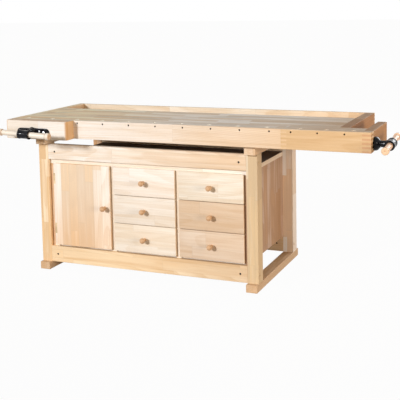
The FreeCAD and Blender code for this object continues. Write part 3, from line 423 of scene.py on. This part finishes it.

# %% [markdown]
# ## Which board runs which way
# Fibres run along a board's longest side. The list gives each node the direction of its fibres,
# the direction that its staves are laid in, the stave's width and its length, the board's
# average tone, how much the staves differ, how strong the figure is, and what else the board has.
# The worktop's flat face is greyer in the middle, partly from wear and partly as a painted sheen,
# and browner towards the right. A long board that is glued up end to end may start pale and end
# honey coloured.

# %% Wood on the frame's boards
# Upward tones of the worktop: wear along the bench, with a greyer middle that is partly painted sheen.
worktop_wear_and_sheen = ((-0.90, (0.97, 0.80, 0.545)), (-0.05, (0.83, 0.765, 0.665)), (0.45, (0.725, 0.66, 0.57)),
            (0.85, (0.56, 0.445, 0.33)))
brown_top = ((0.0, (0.37, 0.235, 0.135)),)
DOG_SETBACK = 0.040
beam_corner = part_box("front_beam")[0]
dog_holes = (beam_corner.y + DOG_SETBACK, beam_corner.x + 0.076, 0.156, 0.97)
tail_dog_holes = (beam_corner.y + DOG_SETBACK, beam_corner.x + 1.650, 0.133, 0.45)
boards = {
    "front_beam": (X, Y, 0.064, 0.92, (0.97, 0.94, 0.885), 0.40, 0.9,
                   {"drift": (-0.95, 0.95, (0.79, 0.585, 0.375)), "upward_wear_and_light": worktop_wear_and_sheen, "sawn": 0.30,
                    "holes": dog_holes}),
    "worktop_slab": (X, Y, 0.050, 0.46, (0.85, 0.66, 0.46), 0.80, 0.9, {"upward_wear_and_light": worktop_wear_and_sheen}),
    "left_end_cap": (Y, X, 0.090, 1.40, (0.86, 0.68, 0.49), 0.30, 0.8, {"upward_wear_and_light": worktop_wear_and_sheen, "sawn": 0.25}),
    "right_end_cap": (Y, X, 0.090, 0.50, (0.44, 0.23, 0.10), 0.70, 1.5, {"upward_wear_and_light": brown_top, "sawn": 0.25}),
    "back_rail": (X, Z, 0.140, 0.55, (0.80, 0.73, 0.60), 0.45, 0.9, {"drift": (0.0, 0.9, (0.84, 0.66, 0.45))}),
    "tray_floor": (X, Y, 0.090, 1.10, (0.84, 0.66, 0.47), 0.30, 0.7, {}),
    "front_jaw": (X, Y, 0.029, 0.90, (0.97, 0.94, 0.875), 0.50, 0.7,
                  {"upward_wear_and_light": ((0.0, (0.76, 0.58, 0.41)),), "sawn": 0.92, "sawn_colour": (0.80, 0.52, 0.27)}),
    "tail_block": (X, Z, 0.150, 0.95, (0.76, 0.57, 0.355), 0.50, 0.9,
                   {"upward_wear_and_light": worktop_wear_and_sheen, "sawn": 0.55, "holes": tail_dog_holes}),
    "tail_jaw_head": (Y, X, 0.070, 0.80, (0.80, 0.61, 0.40), 0.30, 0.6, {"upward_wear_and_light": worktop_wear_and_sheen, "sawn": 0.4}),
    "tail_end_block": (Y, X, 0.090, 0.42, (0.47, 0.27, 0.125), 0.90, 1.4,
                       {"upward_wear_and_light": brown_top, "sawn": 0.85, "sawn_colour": (0.66, 0.40, 0.23)}),
    "front_top_rail": (X, Z, 0.047, 0.78, (0.96, 0.89, 0.81), 0.50, 1.0,
                       {"drift": (-0.6, 0.2, (0.85, 0.70, 0.535))}),
    "front_bottom_rail": (X, Z, 0.050, 0.62, (0.93, 0.74, 0.50), 0.60, 1.0,
                          {"drift": (-0.5, 0.3, (0.74, 0.57, 0.38))}),
    "back_top_rail": (X, Z, 0.047, 0.78, (0.88, 0.74, 0.58), 0.45, 1.0, {}),
    "back_bottom_rail": (X, Z, 0.050, 0.62, (0.84, 0.65, 0.45), 0.55, 1.0, {}),
    "cabinet_side_left": (Z, Y, 0.058, 0.46, (0.80, 0.56, 0.36), 0.90, 0.9, {}),
    # The right side of the cabinet is browner and darker than the left: partly its wood, partly painted shade.
    "cabinet_side_right": (Z, Y, 0.058, 0.46, (0.55, 0.395, 0.295), 1.40, 1.4, {}),
    # Painted shade: the upper face of the cabinet's top, in the shade of the worktop, is near black.
    "cabinet_top": (X, Y, 0.060, 0.70, (0.93, 0.85, 0.75), 0.45, 0.7,
                    {"sawn": 0.2, "upward_wear_and_light": ((0.0, (0.085, 0.048, 0.028)),)}),
    "cabinet_floor": (X, Y, 0.060, 0.70, (0.92, 0.80, 0.65), 0.45, 0.7, {}),
    "cabinet_back": (X, Z, 0.400, 2.00, (0.86, 0.70, 0.52), 0.20, 1.2, {}),
    "partition_left": (Z, Y, 0.056, 0.60, (0.94, 0.84, 0.71), 0.45, 0.7, {}),
    "partition_right": (Z, Y, 0.056, 0.60, (0.94, 0.84, 0.71), 0.45, 0.7, {}),
    "hinge_stile": (Z, X, 0.060, 0.80, (0.95, 0.86, 0.75), 0.30, 0.7, {}),
    "cabinet_shelf": (X, Y, 0.056, 0.60, (0.86, 0.68, 0.48), 0.45, 0.7, {}),
    "drawer_runners": (Y, Z, 0.060, 1.20, (0.85, 0.66, 0.46), 0.20, 0.6, {}),
    "door_panel": (Z, X, 0.051, 0.62, (0.94, 0.85, 0.745), 1.60, 0.6,
                   {"drift": (0.55, 0.1, (0.90, 0.70, 0.51))}),
}
# The rear posts carry painted light and shade: the rear left post is darker, as painted shade, and the rear
# right post paler, as painted light.
post_tones = {"left": {"front": (0.92, 0.73, 0.50), "rear": (0.66, 0.46, 0.30)},
              "right": {"front": (0.77, 0.67, 0.51), "rear": (0.95, 0.88, 0.83)}}
for side, tones in post_tones.items():
    for row, tone in tones.items():
        boards["post_%s_%s" % (row, side)] = (Z, X, 0.0305, 0.36, tone, 2.0, 0.9, {})
    boards["foot_" + side] = (Y, X, 0.0305, 0.50, (0.71, 0.535, 0.365), 0.60, 0.9, {"sawn": 0.25})
    boards["crossbar_" + side] = (Y, X, 0.0305, 0.50, (0.81, 0.65, 0.485), 0.55, 0.9, {"sawn": 0.25})
fronts = ((0.93, 0.86, 0.775), (0.875, 0.815, 0.725), (0.875, 0.80, 0.685), (0.87, 0.805, 0.69),
          (0.735, 0.585, 0.435), (0.75, 0.615, 0.48))
for number, front_tone in enumerate(fronts, 1):
    boards["drawer_%d_front" % number] = (X, Z, 0.078, 0.62, front_tone, 0.30, 0.6, {})
    boards["drawer_%d_box" % number] = (Y, Z, 0.130, 1.40, (0.87, 0.73, 0.56), 0.15, 0.8, {})


def dress(name, finish):
    """Give a piece of the frame its finish in place of the one that it came with."""
    nodes[name].data.materials.clear()
    nodes[name].data.materials.append(finish)


SEED_STEP = 0.613
finishes = {}
for order, (name, (along, across, width, length, colour, spread, flame, more)) in enumerate(boards.items()):
    finishes[name] = stave_wood("wood_" + name, along, across, width, length, colour, seed=order * SEED_STEP,
                                spread=spread, flame=flame, **more)
    dress(name, finishes[name])
print("wood on", len(finishes), "boards")

# %% [markdown]
# ## Metal
# The castings and screws are black enamel over a rough sand casting: glossy, with a soft
# unevenness. The guide rods are bright ground steel with fine rings from the grinding, the
# barrel nuts are near black as painted shade in their recesses, and the bolts and the hinges are
# brassed.


# %% Finishes for metal
def enamel(name):
    f = new_finish(name)
    place = f.node("ShaderNodeTexCoord", out=OBJECT)
    lumps = f.noise(place, 130.0, 3.0, 0.6)
    dust = f.noise(place, 38.0, 2.0, 0.5)
    colour = f.mix(dust.between(0.35, 0.75), (0.003, 0.003, 0.005), (0.012, 0.012, 0.015))
    bump = f.node("ShaderNodeBump", None, {"Height": lumps, "Strength": 0.16, "Distance": 0.0008})
    return f.surface({"Base Color": colour, "Roughness": dust * 0.10 + 0.10, "Normal": bump,
                      "Specular IOR Level": 0.15})


def steel(name, tone, scale, along):
    f = new_finish(name)
    place = f.node("ShaderNodeTexCoord", out=OBJECT)
    axes = f.split(place)
    stretch = [axes[i] * (scale if i == along else scale * 0.05) for i in range(3)]
    lines = f.noise(f.vector(*stretch), 1.0, 3.0, 0.7)
    cloud = f.noise(place, 25.0, 2.0)
    colour = f.mix(cloud.between(0.3, 0.7), tone, tuple(v * 0.72 for v in tone))
    bump = f.node("ShaderNodeBump", None, {"Height": lines, "Strength": 0.12, "Distance": 0.0003})
    return f.surface({"Base Color": colour, "Metallic": 1.0, "Roughness": lines * 0.2 + 0.22, "Normal": bump})


black = enamel("black_enamel")
rod_steel_y = steel("ground_rod_steel", (0.55, 0.55, 0.56), 2400.0, Y)
rod_steel_x = steel("ground_rod_steel_tail", (0.55, 0.55, 0.56), 2400.0, X)
polished = steel("polished_steel", (0.82, 0.82, 0.84), 900.0, Y)
brass = steel("brassed_hinge", (0.80, 0.60, 0.36), 400.0, Z)
# Painted shade: the barrel nuts are near black, standing in for the shade in their recesses.
nut_shade_black = steel("nut_painted_shade", (0.045, 0.042, 0.040), 400.0, X)
metals = {"front_vise_plate": black, "front_vise_nut": black, "front_screw": black, "tail_flange": black,
          "tail_vise_nut": black, "tail_screw": black, "front_guide_rods": rod_steel_y,
          "tail_guide_rods": rod_steel_x, "frame_bolts": brass, "barrel_nuts": nut_shade_black,
          "hinge_leaves_fixed": brass, "hinge_leaves_door": brass}
for name, finish in metals.items():
    dress(name, finish)
print("metal on", len(metals), "pieces of the vises, bolts and hinges")

# %% [markdown]
# ## Turned pieces
# Knobs, bars and hubs come off a lathe, so their outline is drawn once and spun round an axis.
# The helpers draw the outline as a chain of edges, spin it a full turn, close it, and stand
# the result along any axis.

# %% A lathe
SHARP_EDGE = math.radians(32)
WELD = 1e-6


def into_object(name, mesh, body, material):
    """Make an object of a bmesh, with smooth faces that keep their sharp edges."""
    bmesh.ops.recalc_face_normals(mesh, faces=mesh.faces)
    for face in mesh.faces:
        face.smooth = True
    for edge in mesh.edges:
        if len(edge.link_faces) == 2 and edge.calc_face_angle() > SHARP_EDGE:
            edge.smooth = False
    data = bpy.data.meshes.new(name)
    mesh.to_mesh(data)
    mesh.free()
    data.materials.append(material)
    made = bpy.data.objects.new(name, data)
    bpy.context.scene.collection.objects.link(made)
    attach(made, body)
    return made


def draw(outline):
    """A new bmesh with an outline of (distance along the axis, radius) as a chain of edges."""
    fresh = bmesh.new()
    points = [fresh.verts.new((radius, 0, distance)) for distance, radius in outline]
    return fresh, points + [fresh.edges.new(pair) for pair in zip(points, points[1:])]


def stand_in(mesh, fresh, place, axis):
    """Turn a fresh bmesh from Z to axis, move it to place and add it to mesh."""
    stand = Matrix.Translation(place) @ Vector(axis).to_track_quat("Z", "Y").to_matrix().to_4x4()
    bmesh.ops.transform(fresh, matrix=stand, verts=fresh.verts)
    part = bpy.data.meshes.new("part")
    fresh.to_mesh(part)
    fresh.free()
    mesh.from_mesh(part)
    bpy.data.meshes.remove(part)


def lathe(mesh, outline, place, axis, steps):
    """Spin an outline a full turn in the given number of steps and add it to mesh."""
    fresh, chain = draw(outline)
    bmesh.ops.spin(fresh, geom=chain, cent=(0, 0, 0), axis=(0, 0, 1), dvec=(0, 0, 0),
                   angle=math.tau, steps=steps, use_merge=True, use_duplicate=False)
    bmesh.ops.remove_doubles(fresh, verts=fresh.verts, dist=WELD)
    bmesh.ops.recalc_face_normals(fresh, faces=fresh.faces)
    stand_in(mesh, fresh, place, axis)


def arc(centre, radius, start, end, count):
    """Points (distance, radius) on a round stretch of an outline, by angle from the axis."""
    points = []
    for i in range(count + 1):
        a = math.radians(start + (end - start) * i / count)
        points.append((centre[0] + radius * math.cos(a), max(0.0, centre[1] + radius * math.sin(a))))
    return points


print("lathe is ready")

# %% [markdown]
# ## Ball knobs
# Each knob is a turned beech ball on a waisted neck with a thin foot against the drawer front.
# Its fibres run out from the front, so the ball shows end grain in the middle, and it is a
# little darker than the drawers.


# %% Knobs on the door and the drawers
KNOB_RADIUS = 0.015
KNOB_FOOT = [(0.0, 0.0), (0.0, 0.0085), (0.0014, 0.0092), (0.0028, 0.0086), (0.0050, 0.0070), (0.0085, 0.0066)]
door_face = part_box("door_panel")[0].y
knob_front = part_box("door_knob")[0].y
knob_wood = stave_wood("wood_knobs", Y, X, 0.31, 1.3, (0.68, 0.46, 0.28), seed=3.7, spread=0.1, flame=1.0,
                       sawn=0.3, roughness=0.38, gloss=0.35)


def ball_knob(name, node, body):
    """A knob in front of the middle of a node."""
    low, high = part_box(node)
    place = Vector(((low.x + high.x) / 2, door_face, (low.z + high.z) / 2))
    outline = KNOB_FOOT + arc((door_face - knob_front - KNOB_RADIUS, 0.0), KNOB_RADIUS, 150, 0, 16)
    mesh = bmesh.new()
    lathe(mesh, [(-d, r) for d, r in reversed(outline)], place, (0, 1, 0), 36)
    return into_object(name, mesh, body, knob_wood)


knob = ball_knob("door_ball_knob", "door_knob", "door")
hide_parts("door_knob")
print("knob in front of the door by", round((door_face - knob_front) * 1000, 1), "mm")

# %% [markdown]
# ## Drawer fronts
# A drawer front is one board with softly rounded edges. The solid in the frame holds the board
# and the knob together, so both are made again here: the board as a cube that is bevelled, the
# knob on the lathe.


# %% Drawer fronts and their knobs
EASE = 0.0022


def eased_board(name, low, high, body, material):
    """A board between two corners, with all its edges rounded."""
    mesh = bmesh.new()
    bmesh.ops.create_cube(mesh, size=1.0)
    bmesh.ops.scale(mesh, vec=high - low, verts=mesh.verts)
    bmesh.ops.translate(mesh, vec=(low + high) / 2, verts=mesh.verts)
    bmesh.ops.bevel(mesh, geom=mesh.edges[:], offset=EASE, segments=3, profile=0.5,
                    affect="EDGES", material=-1, clamp_overlap=True)
    return into_object(name, mesh, body, material)


for number in range(1, 7):
    node = "drawer_%d_front" % number
    body = "drawer_%d" % number
    low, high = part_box(node)
    front = eased_board(node + "_board", Vector((low.x, door_face, low.z)), high, body, finishes[node])
    ball_knob(node + "_knob", node, body)
    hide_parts(node)
print("six drawer fronts, rounded by", EASE * 1000, "mm")

# %% [markdown]
# ## Tommy bars
# The bar is a straight beech dowel with a fatter knob at each end. The knob is turned with a
# bead against the bar, a rounded rim and a small centre mark from the lathe.


# %% Tommy bars
bar_wood = stave_wood("wood_front_bar", X, Z, 0.31, 1.3, (0.96, 0.89, 0.79), seed=5.1, spread=0.1, flame=0.8,
                      sawn=0.85, sawn_colour=(0.70, 0.47, 0.29), roughness=0.36, gloss=0.35)
tail_bar_wood = stave_wood("wood_tail_bar", Y, Z, 0.31, 1.3, (0.80, 0.56, 0.40), seed=6.3, spread=0.1,
                           flame=0.8, sawn=0.7, sawn_colour=(0.86, 0.64, 0.42), roughness=0.36, gloss=0.35)
BAR_RADIUS, BAR_LENGTH, END_RADIUS, END_LENGTH = 0.015, 0.276, 0.0185, 0.022


def tommy_bar(name, middle, lean, body, material):
    half, back = BAR_LENGTH / 2, BAR_LENGTH / 2 + END_LENGTH
    end = [(half - 0.0030, BAR_RADIUS), (half - 0.0024, 0.0136), (half - 0.0008, 0.0134), (half, 0.0142),
           (half + 0.0004, END_RADIUS - 0.0022)]
    end += arc((half + 0.0025, END_RADIUS - 0.0022), 0.0022, 160, 90, 4)
    end += arc((back - 0.0055, END_RADIUS - 0.0055), 0.0055, 90, 12, 7)
    end += [(back - 0.0002, 0.0040), (back - 0.0008, 0.0030), (back - 0.0045, 0.0004), (back - 0.0046, 0.0)]
    mesh = bmesh.new()
    outline = [(-d, r) for d, r in reversed(end)] + [(-half * 0.5, BAR_RADIUS), (0, BAR_RADIUS),
                                                     (half * 0.5, BAR_RADIUS)] + end
    lathe(mesh, outline, middle, lean, 44)
    return into_object(name, mesh, body, material)


def middle_of(name):
    low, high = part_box(name)
    return (low + high) / 2


FRONT_LEAN, TAIL_LEAN = math.radians(2.4), math.radians(4.4)
front_axis = Vector((math.cos(FRONT_LEAN), 0, -math.sin(FRONT_LEAN)))
tail_axis = Vector((0, math.cos(TAIL_LEAN), math.sin(TAIL_LEAN)))
front_bar = tommy_bar("front_tommy_bar", middle_of("front_bar"), front_axis, "front_bar", bar_wood)
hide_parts("front_bar")
tail_bar = tommy_bar("tail_tommy_bar", middle_of("tail_bar"), tail_axis, "tail_bar", tail_bar_wood)
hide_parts("tail_bar")
print("bars at", [tuple(round(v, 3) for v in middle_of(n)) for n in ("front_bar", "tail_bar")])

# %% [markdown]
# ## Vise screws
# The screw has a round thread over most of its length. A thread is a spin that also moves along
# the axis: one pitch of outline, turned once for each turn of the thread, and then welded where
# the turns meet. The neck, the collar and the hub are turned on the lathe. The hub is a short
# barrel across the screw with a lip at each end, and the tommy bar slides through it.

# %% Threaded screws with cross hubs
PITCH, THREAD_DEPTH = 0.006, 0.0026
SCREW_RADIUS, NECK_RADIUS, COLLAR_LIP = 0.012, 0.014, 0.005
HUB_RADIUS, HUB_LENGTH, HUB_LIP, HUB_LIP_LENGTH = 0.023, 0.066, 0.002, 0.007
TIP_LENGTH, THREAD_END = 0.004, 0.012


def thread(mesh, start, axis, length, steps=20):
    """A round thread from start, along axis, with one pitch of outline for each turn."""
    turns = int(length / PITCH)
    root, crest = SCREW_RADIUS - THREAD_DEPTH, SCREW_RADIUS
    fresh, chain = draw([(0.0, root), (0.0010, root), (0.0026, crest), (0.0044, crest), (PITCH, root)])
    bmesh.ops.spin(fresh, geom=chain, cent=(0, 0, 0), axis=(0, 0, 1), dvec=(0, 0, PITCH / steps),
                   angle=math.tau * turns, steps=steps * turns, use_merge=False, use_duplicate=False)
    bmesh.ops.remove_doubles(fresh, verts=fresh.verts, dist=1e-5)
    bmesh.ops.holes_fill(fresh, edges=[e for e in fresh.edges if e.is_boundary], sides=0)
    stand_in(mesh, fresh, start, axis)
    return turns


def vise_screw(name, node, face, axis, reach, hub, lean, seat, collar, body):
    """face is where the axis leaves the jaw, and reach is how far the screw runs behind it. hub, seat
    and collar are how far in front of it the hub's middle, the casting's nose and the collar lie."""
    mesh = bmesh.new()
    axis = Vector(axis)
    turns = thread(mesh, face - axis * (reach - TIP_LENGTH), axis, reach - TIP_LENGTH - THREAD_END)
    tip = [(0.0, 0.0), (0.0, 0.0065), (0.0025, 0.0088), (TIP_LENGTH + 0.0030, 0.0088),
           (TIP_LENGTH + 0.0031, 0.0)]
    lathe(mesh, [(d - reach, r) for d, r in tip], face, axis, 24)

    thread_stop, smooth = turns * PITCH - reach + TIP_LENGTH - 0.001, SCREW_RADIUS - 0.0004
    neck = [(thread_stop, 0.0), (thread_stop, smooth), (-0.0002, smooth), (0.0008, NECK_RADIUS),
            (collar, NECK_RADIUS), (collar, NECK_RADIUS + COLLAR_LIP),
            (collar + 0.004, NECK_RADIUS + COLLAR_LIP), (collar + 0.004, NECK_RADIUS),
            (seat + 0.001, NECK_RADIUS), (seat + 0.003, NECK_RADIUS + 0.0022),
            (hub - 0.028, NECK_RADIUS + 0.0028), (hub - 0.022, NECK_RADIUS + 0.0038),
            (hub - 0.017, NECK_RADIUS + 0.0056), (hub - 0.0165, 0.0)]
    lathe(mesh, neck, face, axis, 32)

    half, bore, lip = HUB_LENGTH / 2, BAR_RADIUS + 0.0003, HUB_RADIUS + HUB_LIP
    shoulder = half - HUB_LIP_LENGTH
    side = [(shoulder - 0.0025, HUB_RADIUS), (shoulder - 0.0008, HUB_RADIUS + 0.0006), (shoulder, lip),
            (half - 0.0010, lip), (half, lip - 0.0010), (half, bore + 0.0012), (half - 0.0012, bore)]
    outline = [(-d, r) for d, r in reversed(side)] + side
    lathe(mesh, outline + outline[:1], face + axis * hub, lean, 44)
    screw = into_object(name, mesh, body, black)
    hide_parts(node)
    print(name, "has", turns, "turns of thread")


FRONT_HUB, TAIL_HUB = 0.086, 0.080
FRONT_BAR_OUT, TAIL_BAR_OUT = 0.0025, -0.0125
front_face = middle_of("front_bar") + front_axis * FRONT_BAR_OUT + Vector((0, FRONT_HUB, 0))
tail_face = middle_of("tail_bar") + tail_axis * TAIL_BAR_OUT - Vector((TAIL_HUB, 0, 0))
front_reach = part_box("front_screw")[1].y - front_face.y
tail_reach = tail_face.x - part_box("tail_screw")[0].x
vise_screw("front_vise_screw", "front_screw", front_face, (0, -1, 0), front_reach, FRONT_HUB, front_axis,
           0.040, 0.028, "front_screw")
vise_screw("tail_vise_screw", "tail_screw", tail_face, (1, 0, 0), tail_reach, TAIL_HUB, tail_axis,
           0.030, 0.014, "tail_screw")

# %% [markdown]
# ## Castings
# The black plate on the front jaw is a long oval with soft rims and a boss in its middle. It is
# lofted: rings with the same number of points are joined one to the next, from the back of the
# plate over its rim, along its face, up the boss and down through the bore, and the last ring
# joins the first. The bore has a wider room for the screw's thrust collar. The polished ends of
# the two guide rods show in the plate, each beside a screw head.

# %% The plate on the front jaw
PLATE_HALF, PLATE_ROUND, PLATE_DEPTH, ROD_OFFSET = 0.0995, 0.022, 0.012, 0.073
RIM = 0.004
END_STEPS, SIDE_STEPS = 24, 28


def oval(inset, out):
    """A ring of points round the plate: even steps of angle on its long sides, and round its ends."""
    straight, radius = PLATE_HALF - PLATE_ROUND, PLATE_ROUND - inset
    edge = math.atan2(PLATE_ROUND, straight)
    points = []
    for turned_by in (0.0, math.pi):
        for i in range(END_STEPS):
            a = math.radians(-90 + 180 * i / END_STEPS)
            points.append((straight + radius * math.cos(a), radius * math.sin(a), turned_by))
        for i in range(SIDE_STEPS):
            a = edge + (math.pi - 2 * edge) * i / SIDE_STEPS
            points.append((PLATE_ROUND / math.tan(a), radius, turned_by))
    return [Vector((x * math.cos(t), -out, z * math.cos(t))) for x, z, t in points]


def round_ring(radius, out):
    angles = [math.atan2(point.z, point.x) for point in oval(0.0, 0.0)]
    return [Vector((radius * math.cos(a), -out, radius * math.sin(a))) for a in angles]


def loft(mesh, rings, place):
    rows = [[mesh.verts.new(place + point) for point in ring] for ring in rings]
    count = len(rows[0])
    for row, following in zip(rows, rows[1:] + rows[:1]):
        for i in range(count):
            j = (i + 1) % count
            mesh.faces.new((row[i], row[j], following[j], following[i]))


BORE, ROOM = NECK_RADIUS + 0.0005, NECK_RADIUS + 0.0055
rings = [oval(0.0, 0.0)]
for i in range(6):
    a = math.radians(18 * i)
    rings.append(oval(RIM * (1 - math.cos(a)), PLATE_DEPTH - RIM + RIM * math.sin(a)))
boss = [(0.0290, 0.0120), (0.0277, 0.0123), (0.0266, 0.0132), (0.0261, 0.0150), (0.0256, 0.0200),
        (0.0245, 0.0280), (0.0234, 0.0340), (0.0226, 0.0370), (0.0218, 0.0386), (0.0205, 0.0396),
        (0.0190, 0.0400), (0.0156, 0.0400), (BORE, 0.0390), (BORE, 0.0325), (ROOM, 0.0325), (ROOM, 0.0275),
        (BORE, 0.0275), (BORE, 0.0)]
rings += [round_ring(radius, out) for radius, out in boss]
plate_mesh = bmesh.new()
loft(plate_mesh, rings, front_face)

rod_collar = [(-0.001, 0.0092), (-0.001, 0.0122), (0.0024, 0.0120), (0.0034, 0.0112), (0.0036, 0.0100),
              (0.0030, 0.0092), (-0.001, 0.0092)]
rod_end = [(-0.001, 0.0), (-0.001, 0.0088), (0.0038, 0.0088), (0.0048, 0.0080), (0.0053, 0.0060),
           (0.0056, 0.0030), (0.0057, 0.0)]
screw_head = [(-0.001, 0.0), (-0.001, 0.0060), (0.0012, 0.0060), (0.0026, 0.0052), (0.0034, 0.0036),
              (0.0034, 0.0026), (0.0016, 0.0024), (0.0016, 0.0)]
bright_mesh = bmesh.new()
for way in (-1, 1):
    rod_seat = front_face + Vector((way * ROD_OFFSET, -PLATE_DEPTH, 0))
    screw_seat = front_face + Vector((way * 0.045, -PLATE_DEPTH, 0.006))
    lathe(plate_mesh, rod_collar, rod_seat, (0, -1, 0), 32)
    lathe(bright_mesh, rod_end, rod_seat, (0, -1, 0), 32)
    lathe(bright_mesh, screw_head, screw_seat, (0, -1, 0), 24)
plate = into_object("front_plate_casting", plate_mesh, "front_jaw", black)
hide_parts("front_vise_plate")
into_object("front_plate_rod_ends", bright_mesh, "front_jaw", polished)
print("plate with", len(rings), "rings of", len(rings[0]), "points")

# %% [markdown]
# The flange of the tail vise is round, so it comes off the lathe like the knobs: a full dome
# against the wood that closes in to a nose with the bore.

# %% The bell on the tail vise
bell = [(0.0, BORE), (0.0, 0.0316), (0.0008, 0.0324), (0.0030, 0.0335), (0.0060, 0.0340), (0.0095, 0.0339),
        (0.0130, 0.0331), (0.0165, 0.0316), (0.0195, 0.0296), (0.0220, 0.0272), (0.0240, 0.0246),
        (0.0255, 0.0224), (0.0268, 0.0207), (0.0280, 0.0198), (0.0294, 0.0192), (0.0300, 0.0184),
        (0.0300, 0.0156), (0.0290, BORE), (0.0187, BORE), (0.0187, ROOM), (0.0133, ROOM), (0.0133, BORE),
        (0.0, BORE)]
bell_mesh = bmesh.new()
lathe(bell_mesh, bell, tail_face, (1, 0, 0), 56)
flange = into_object("tail_bell_casting", bell_mesh, "tail_jaw", black)
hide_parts("tail_flange")
print("bell of", round(bell[4][1] * 2000), "mm across")

# %% [markdown]
# ## The room round the bench
# The bench stands in a white studio, on a pale floor that runs out of sight. The floor and the
# surround show white to the camera by their own colour, not by more light on the wood, and the
# floor still takes a faint shadow under the feet. The light that comes from all round is warm, as
# it is between pale wooden walls.

# %% Floor and surround
FLOOR_HALF = 60.0
SHOWN, SURROUND_LIGHT = 0.97, 0.20
WHITE = (1, 1, 1)


def seen_rays(f):
    """1 for what the camera, a mirror or clear glass shows, 0 for the light that falls on things."""
    kinds = ("Is Camera Ray", "Is Glossy Ray", "Is Transmission Ray")
    camera_ray, glossy, through = f.several("ShaderNodeLightPath", kinds)
    return camera_ray.most(glossy).most(through)


floor_mesh = bmesh.new()
bmesh.ops.create_grid(floor_mesh, x_segments=1, y_segments=1, size=FLOOR_HALF)
floor_data = bpy.data.meshes.new("studio_floor")
floor_mesh.to_mesh(floor_data)
floor_mesh.free()
floor = bpy.data.objects.new("studio_floor", floor_data)
bpy.context.scene.collection.objects.link(floor)
f = new_finish("studio_white")
plain = f.node("ShaderNodeBsdfDiffuse", None, {"Color": (0.42, 0.37, 0.31, 1)})
glow = f.node("ShaderNodeEmission", None, {"Color": (*WHITE, 1), "Strength": 1.0})
mixed = f.node("ShaderNodeMixShader", None, {0: seen_rays(f) * SHOWN, 1: plain, 2: glow})
f.node("ShaderNodeOutputMaterial", None, {"Surface": mixed})
floor_data.materials.append(f.owner)

world = bpy.data.worlds.new("studio")
bpy.context.scene.world = world
f = Finish(world)
shown = seen_rays(f)
sky = f.node("ShaderNodeBackground", None, {"Color": f.mix(shown, (1.0, 0.78, 0.57), WHITE),
                                            "Strength": shown * (1.0 - SURROUND_LIGHT) + SURROUND_LIGHT})
f.node("ShaderNodeOutputWorld", None, {"Surface": sky})
print("a floor of", round(FLOOR_HALF * 2), "m and a white surround")

# %% [markdown]
# ### Lamps
# One sun lamp from the front and the left, rather low, throws the knobs' shadows to the right.
# Soft lamps fill the left, the right side and the back. The back lamp stands off to one side,
# because behind the middle it would be mirrored in the worktop and wash its colour out.


# %% Lamps
def lamp(name, kind, energy, place, aim, size, colour=WHITE):
    """size is the side of a soft lamp in metres, or the angle of the sun."""
    data = bpy.data.lights.new(name, kind)
    data.energy = energy
    data.color = colour
    if kind == "AREA":
        data.size = size
    else:
        data.angle = size
    made = bpy.data.objects.new(name, data)
    made.rotation_euler = (Vector(aim) - Vector(place)).to_track_quat("-Z", "Y").to_euler()
    made.location = place
    bpy.context.scene.collection.objects.link(made)


lamp("key", "SUN", 2.62, (-2.4, -5.2, 2.4), (0, 0, 0.5), math.radians(9), (0.97, 1.0, 1.05))
lamp("left", "AREA", 30.0, (-4.3, -4.6, 2.5), (-0.4, -0.1, 0.7), 1.0)
lamp("side", "AREA", 168.0, (5.2, -2.4, 1.2), (0.6, 0.3, 0.4), 2.0, (1.0, 0.88, 0.76))
lamp("back", "AREA", 150.0, (2.6, 5.2, 3.0), (0, 0.2, 0.5), 3.0, (0.96, 0.98, 1.0))
bpy.context.scene.view_settings.view_transform = "Standard"
print("one sun lamp and three soft lamps")
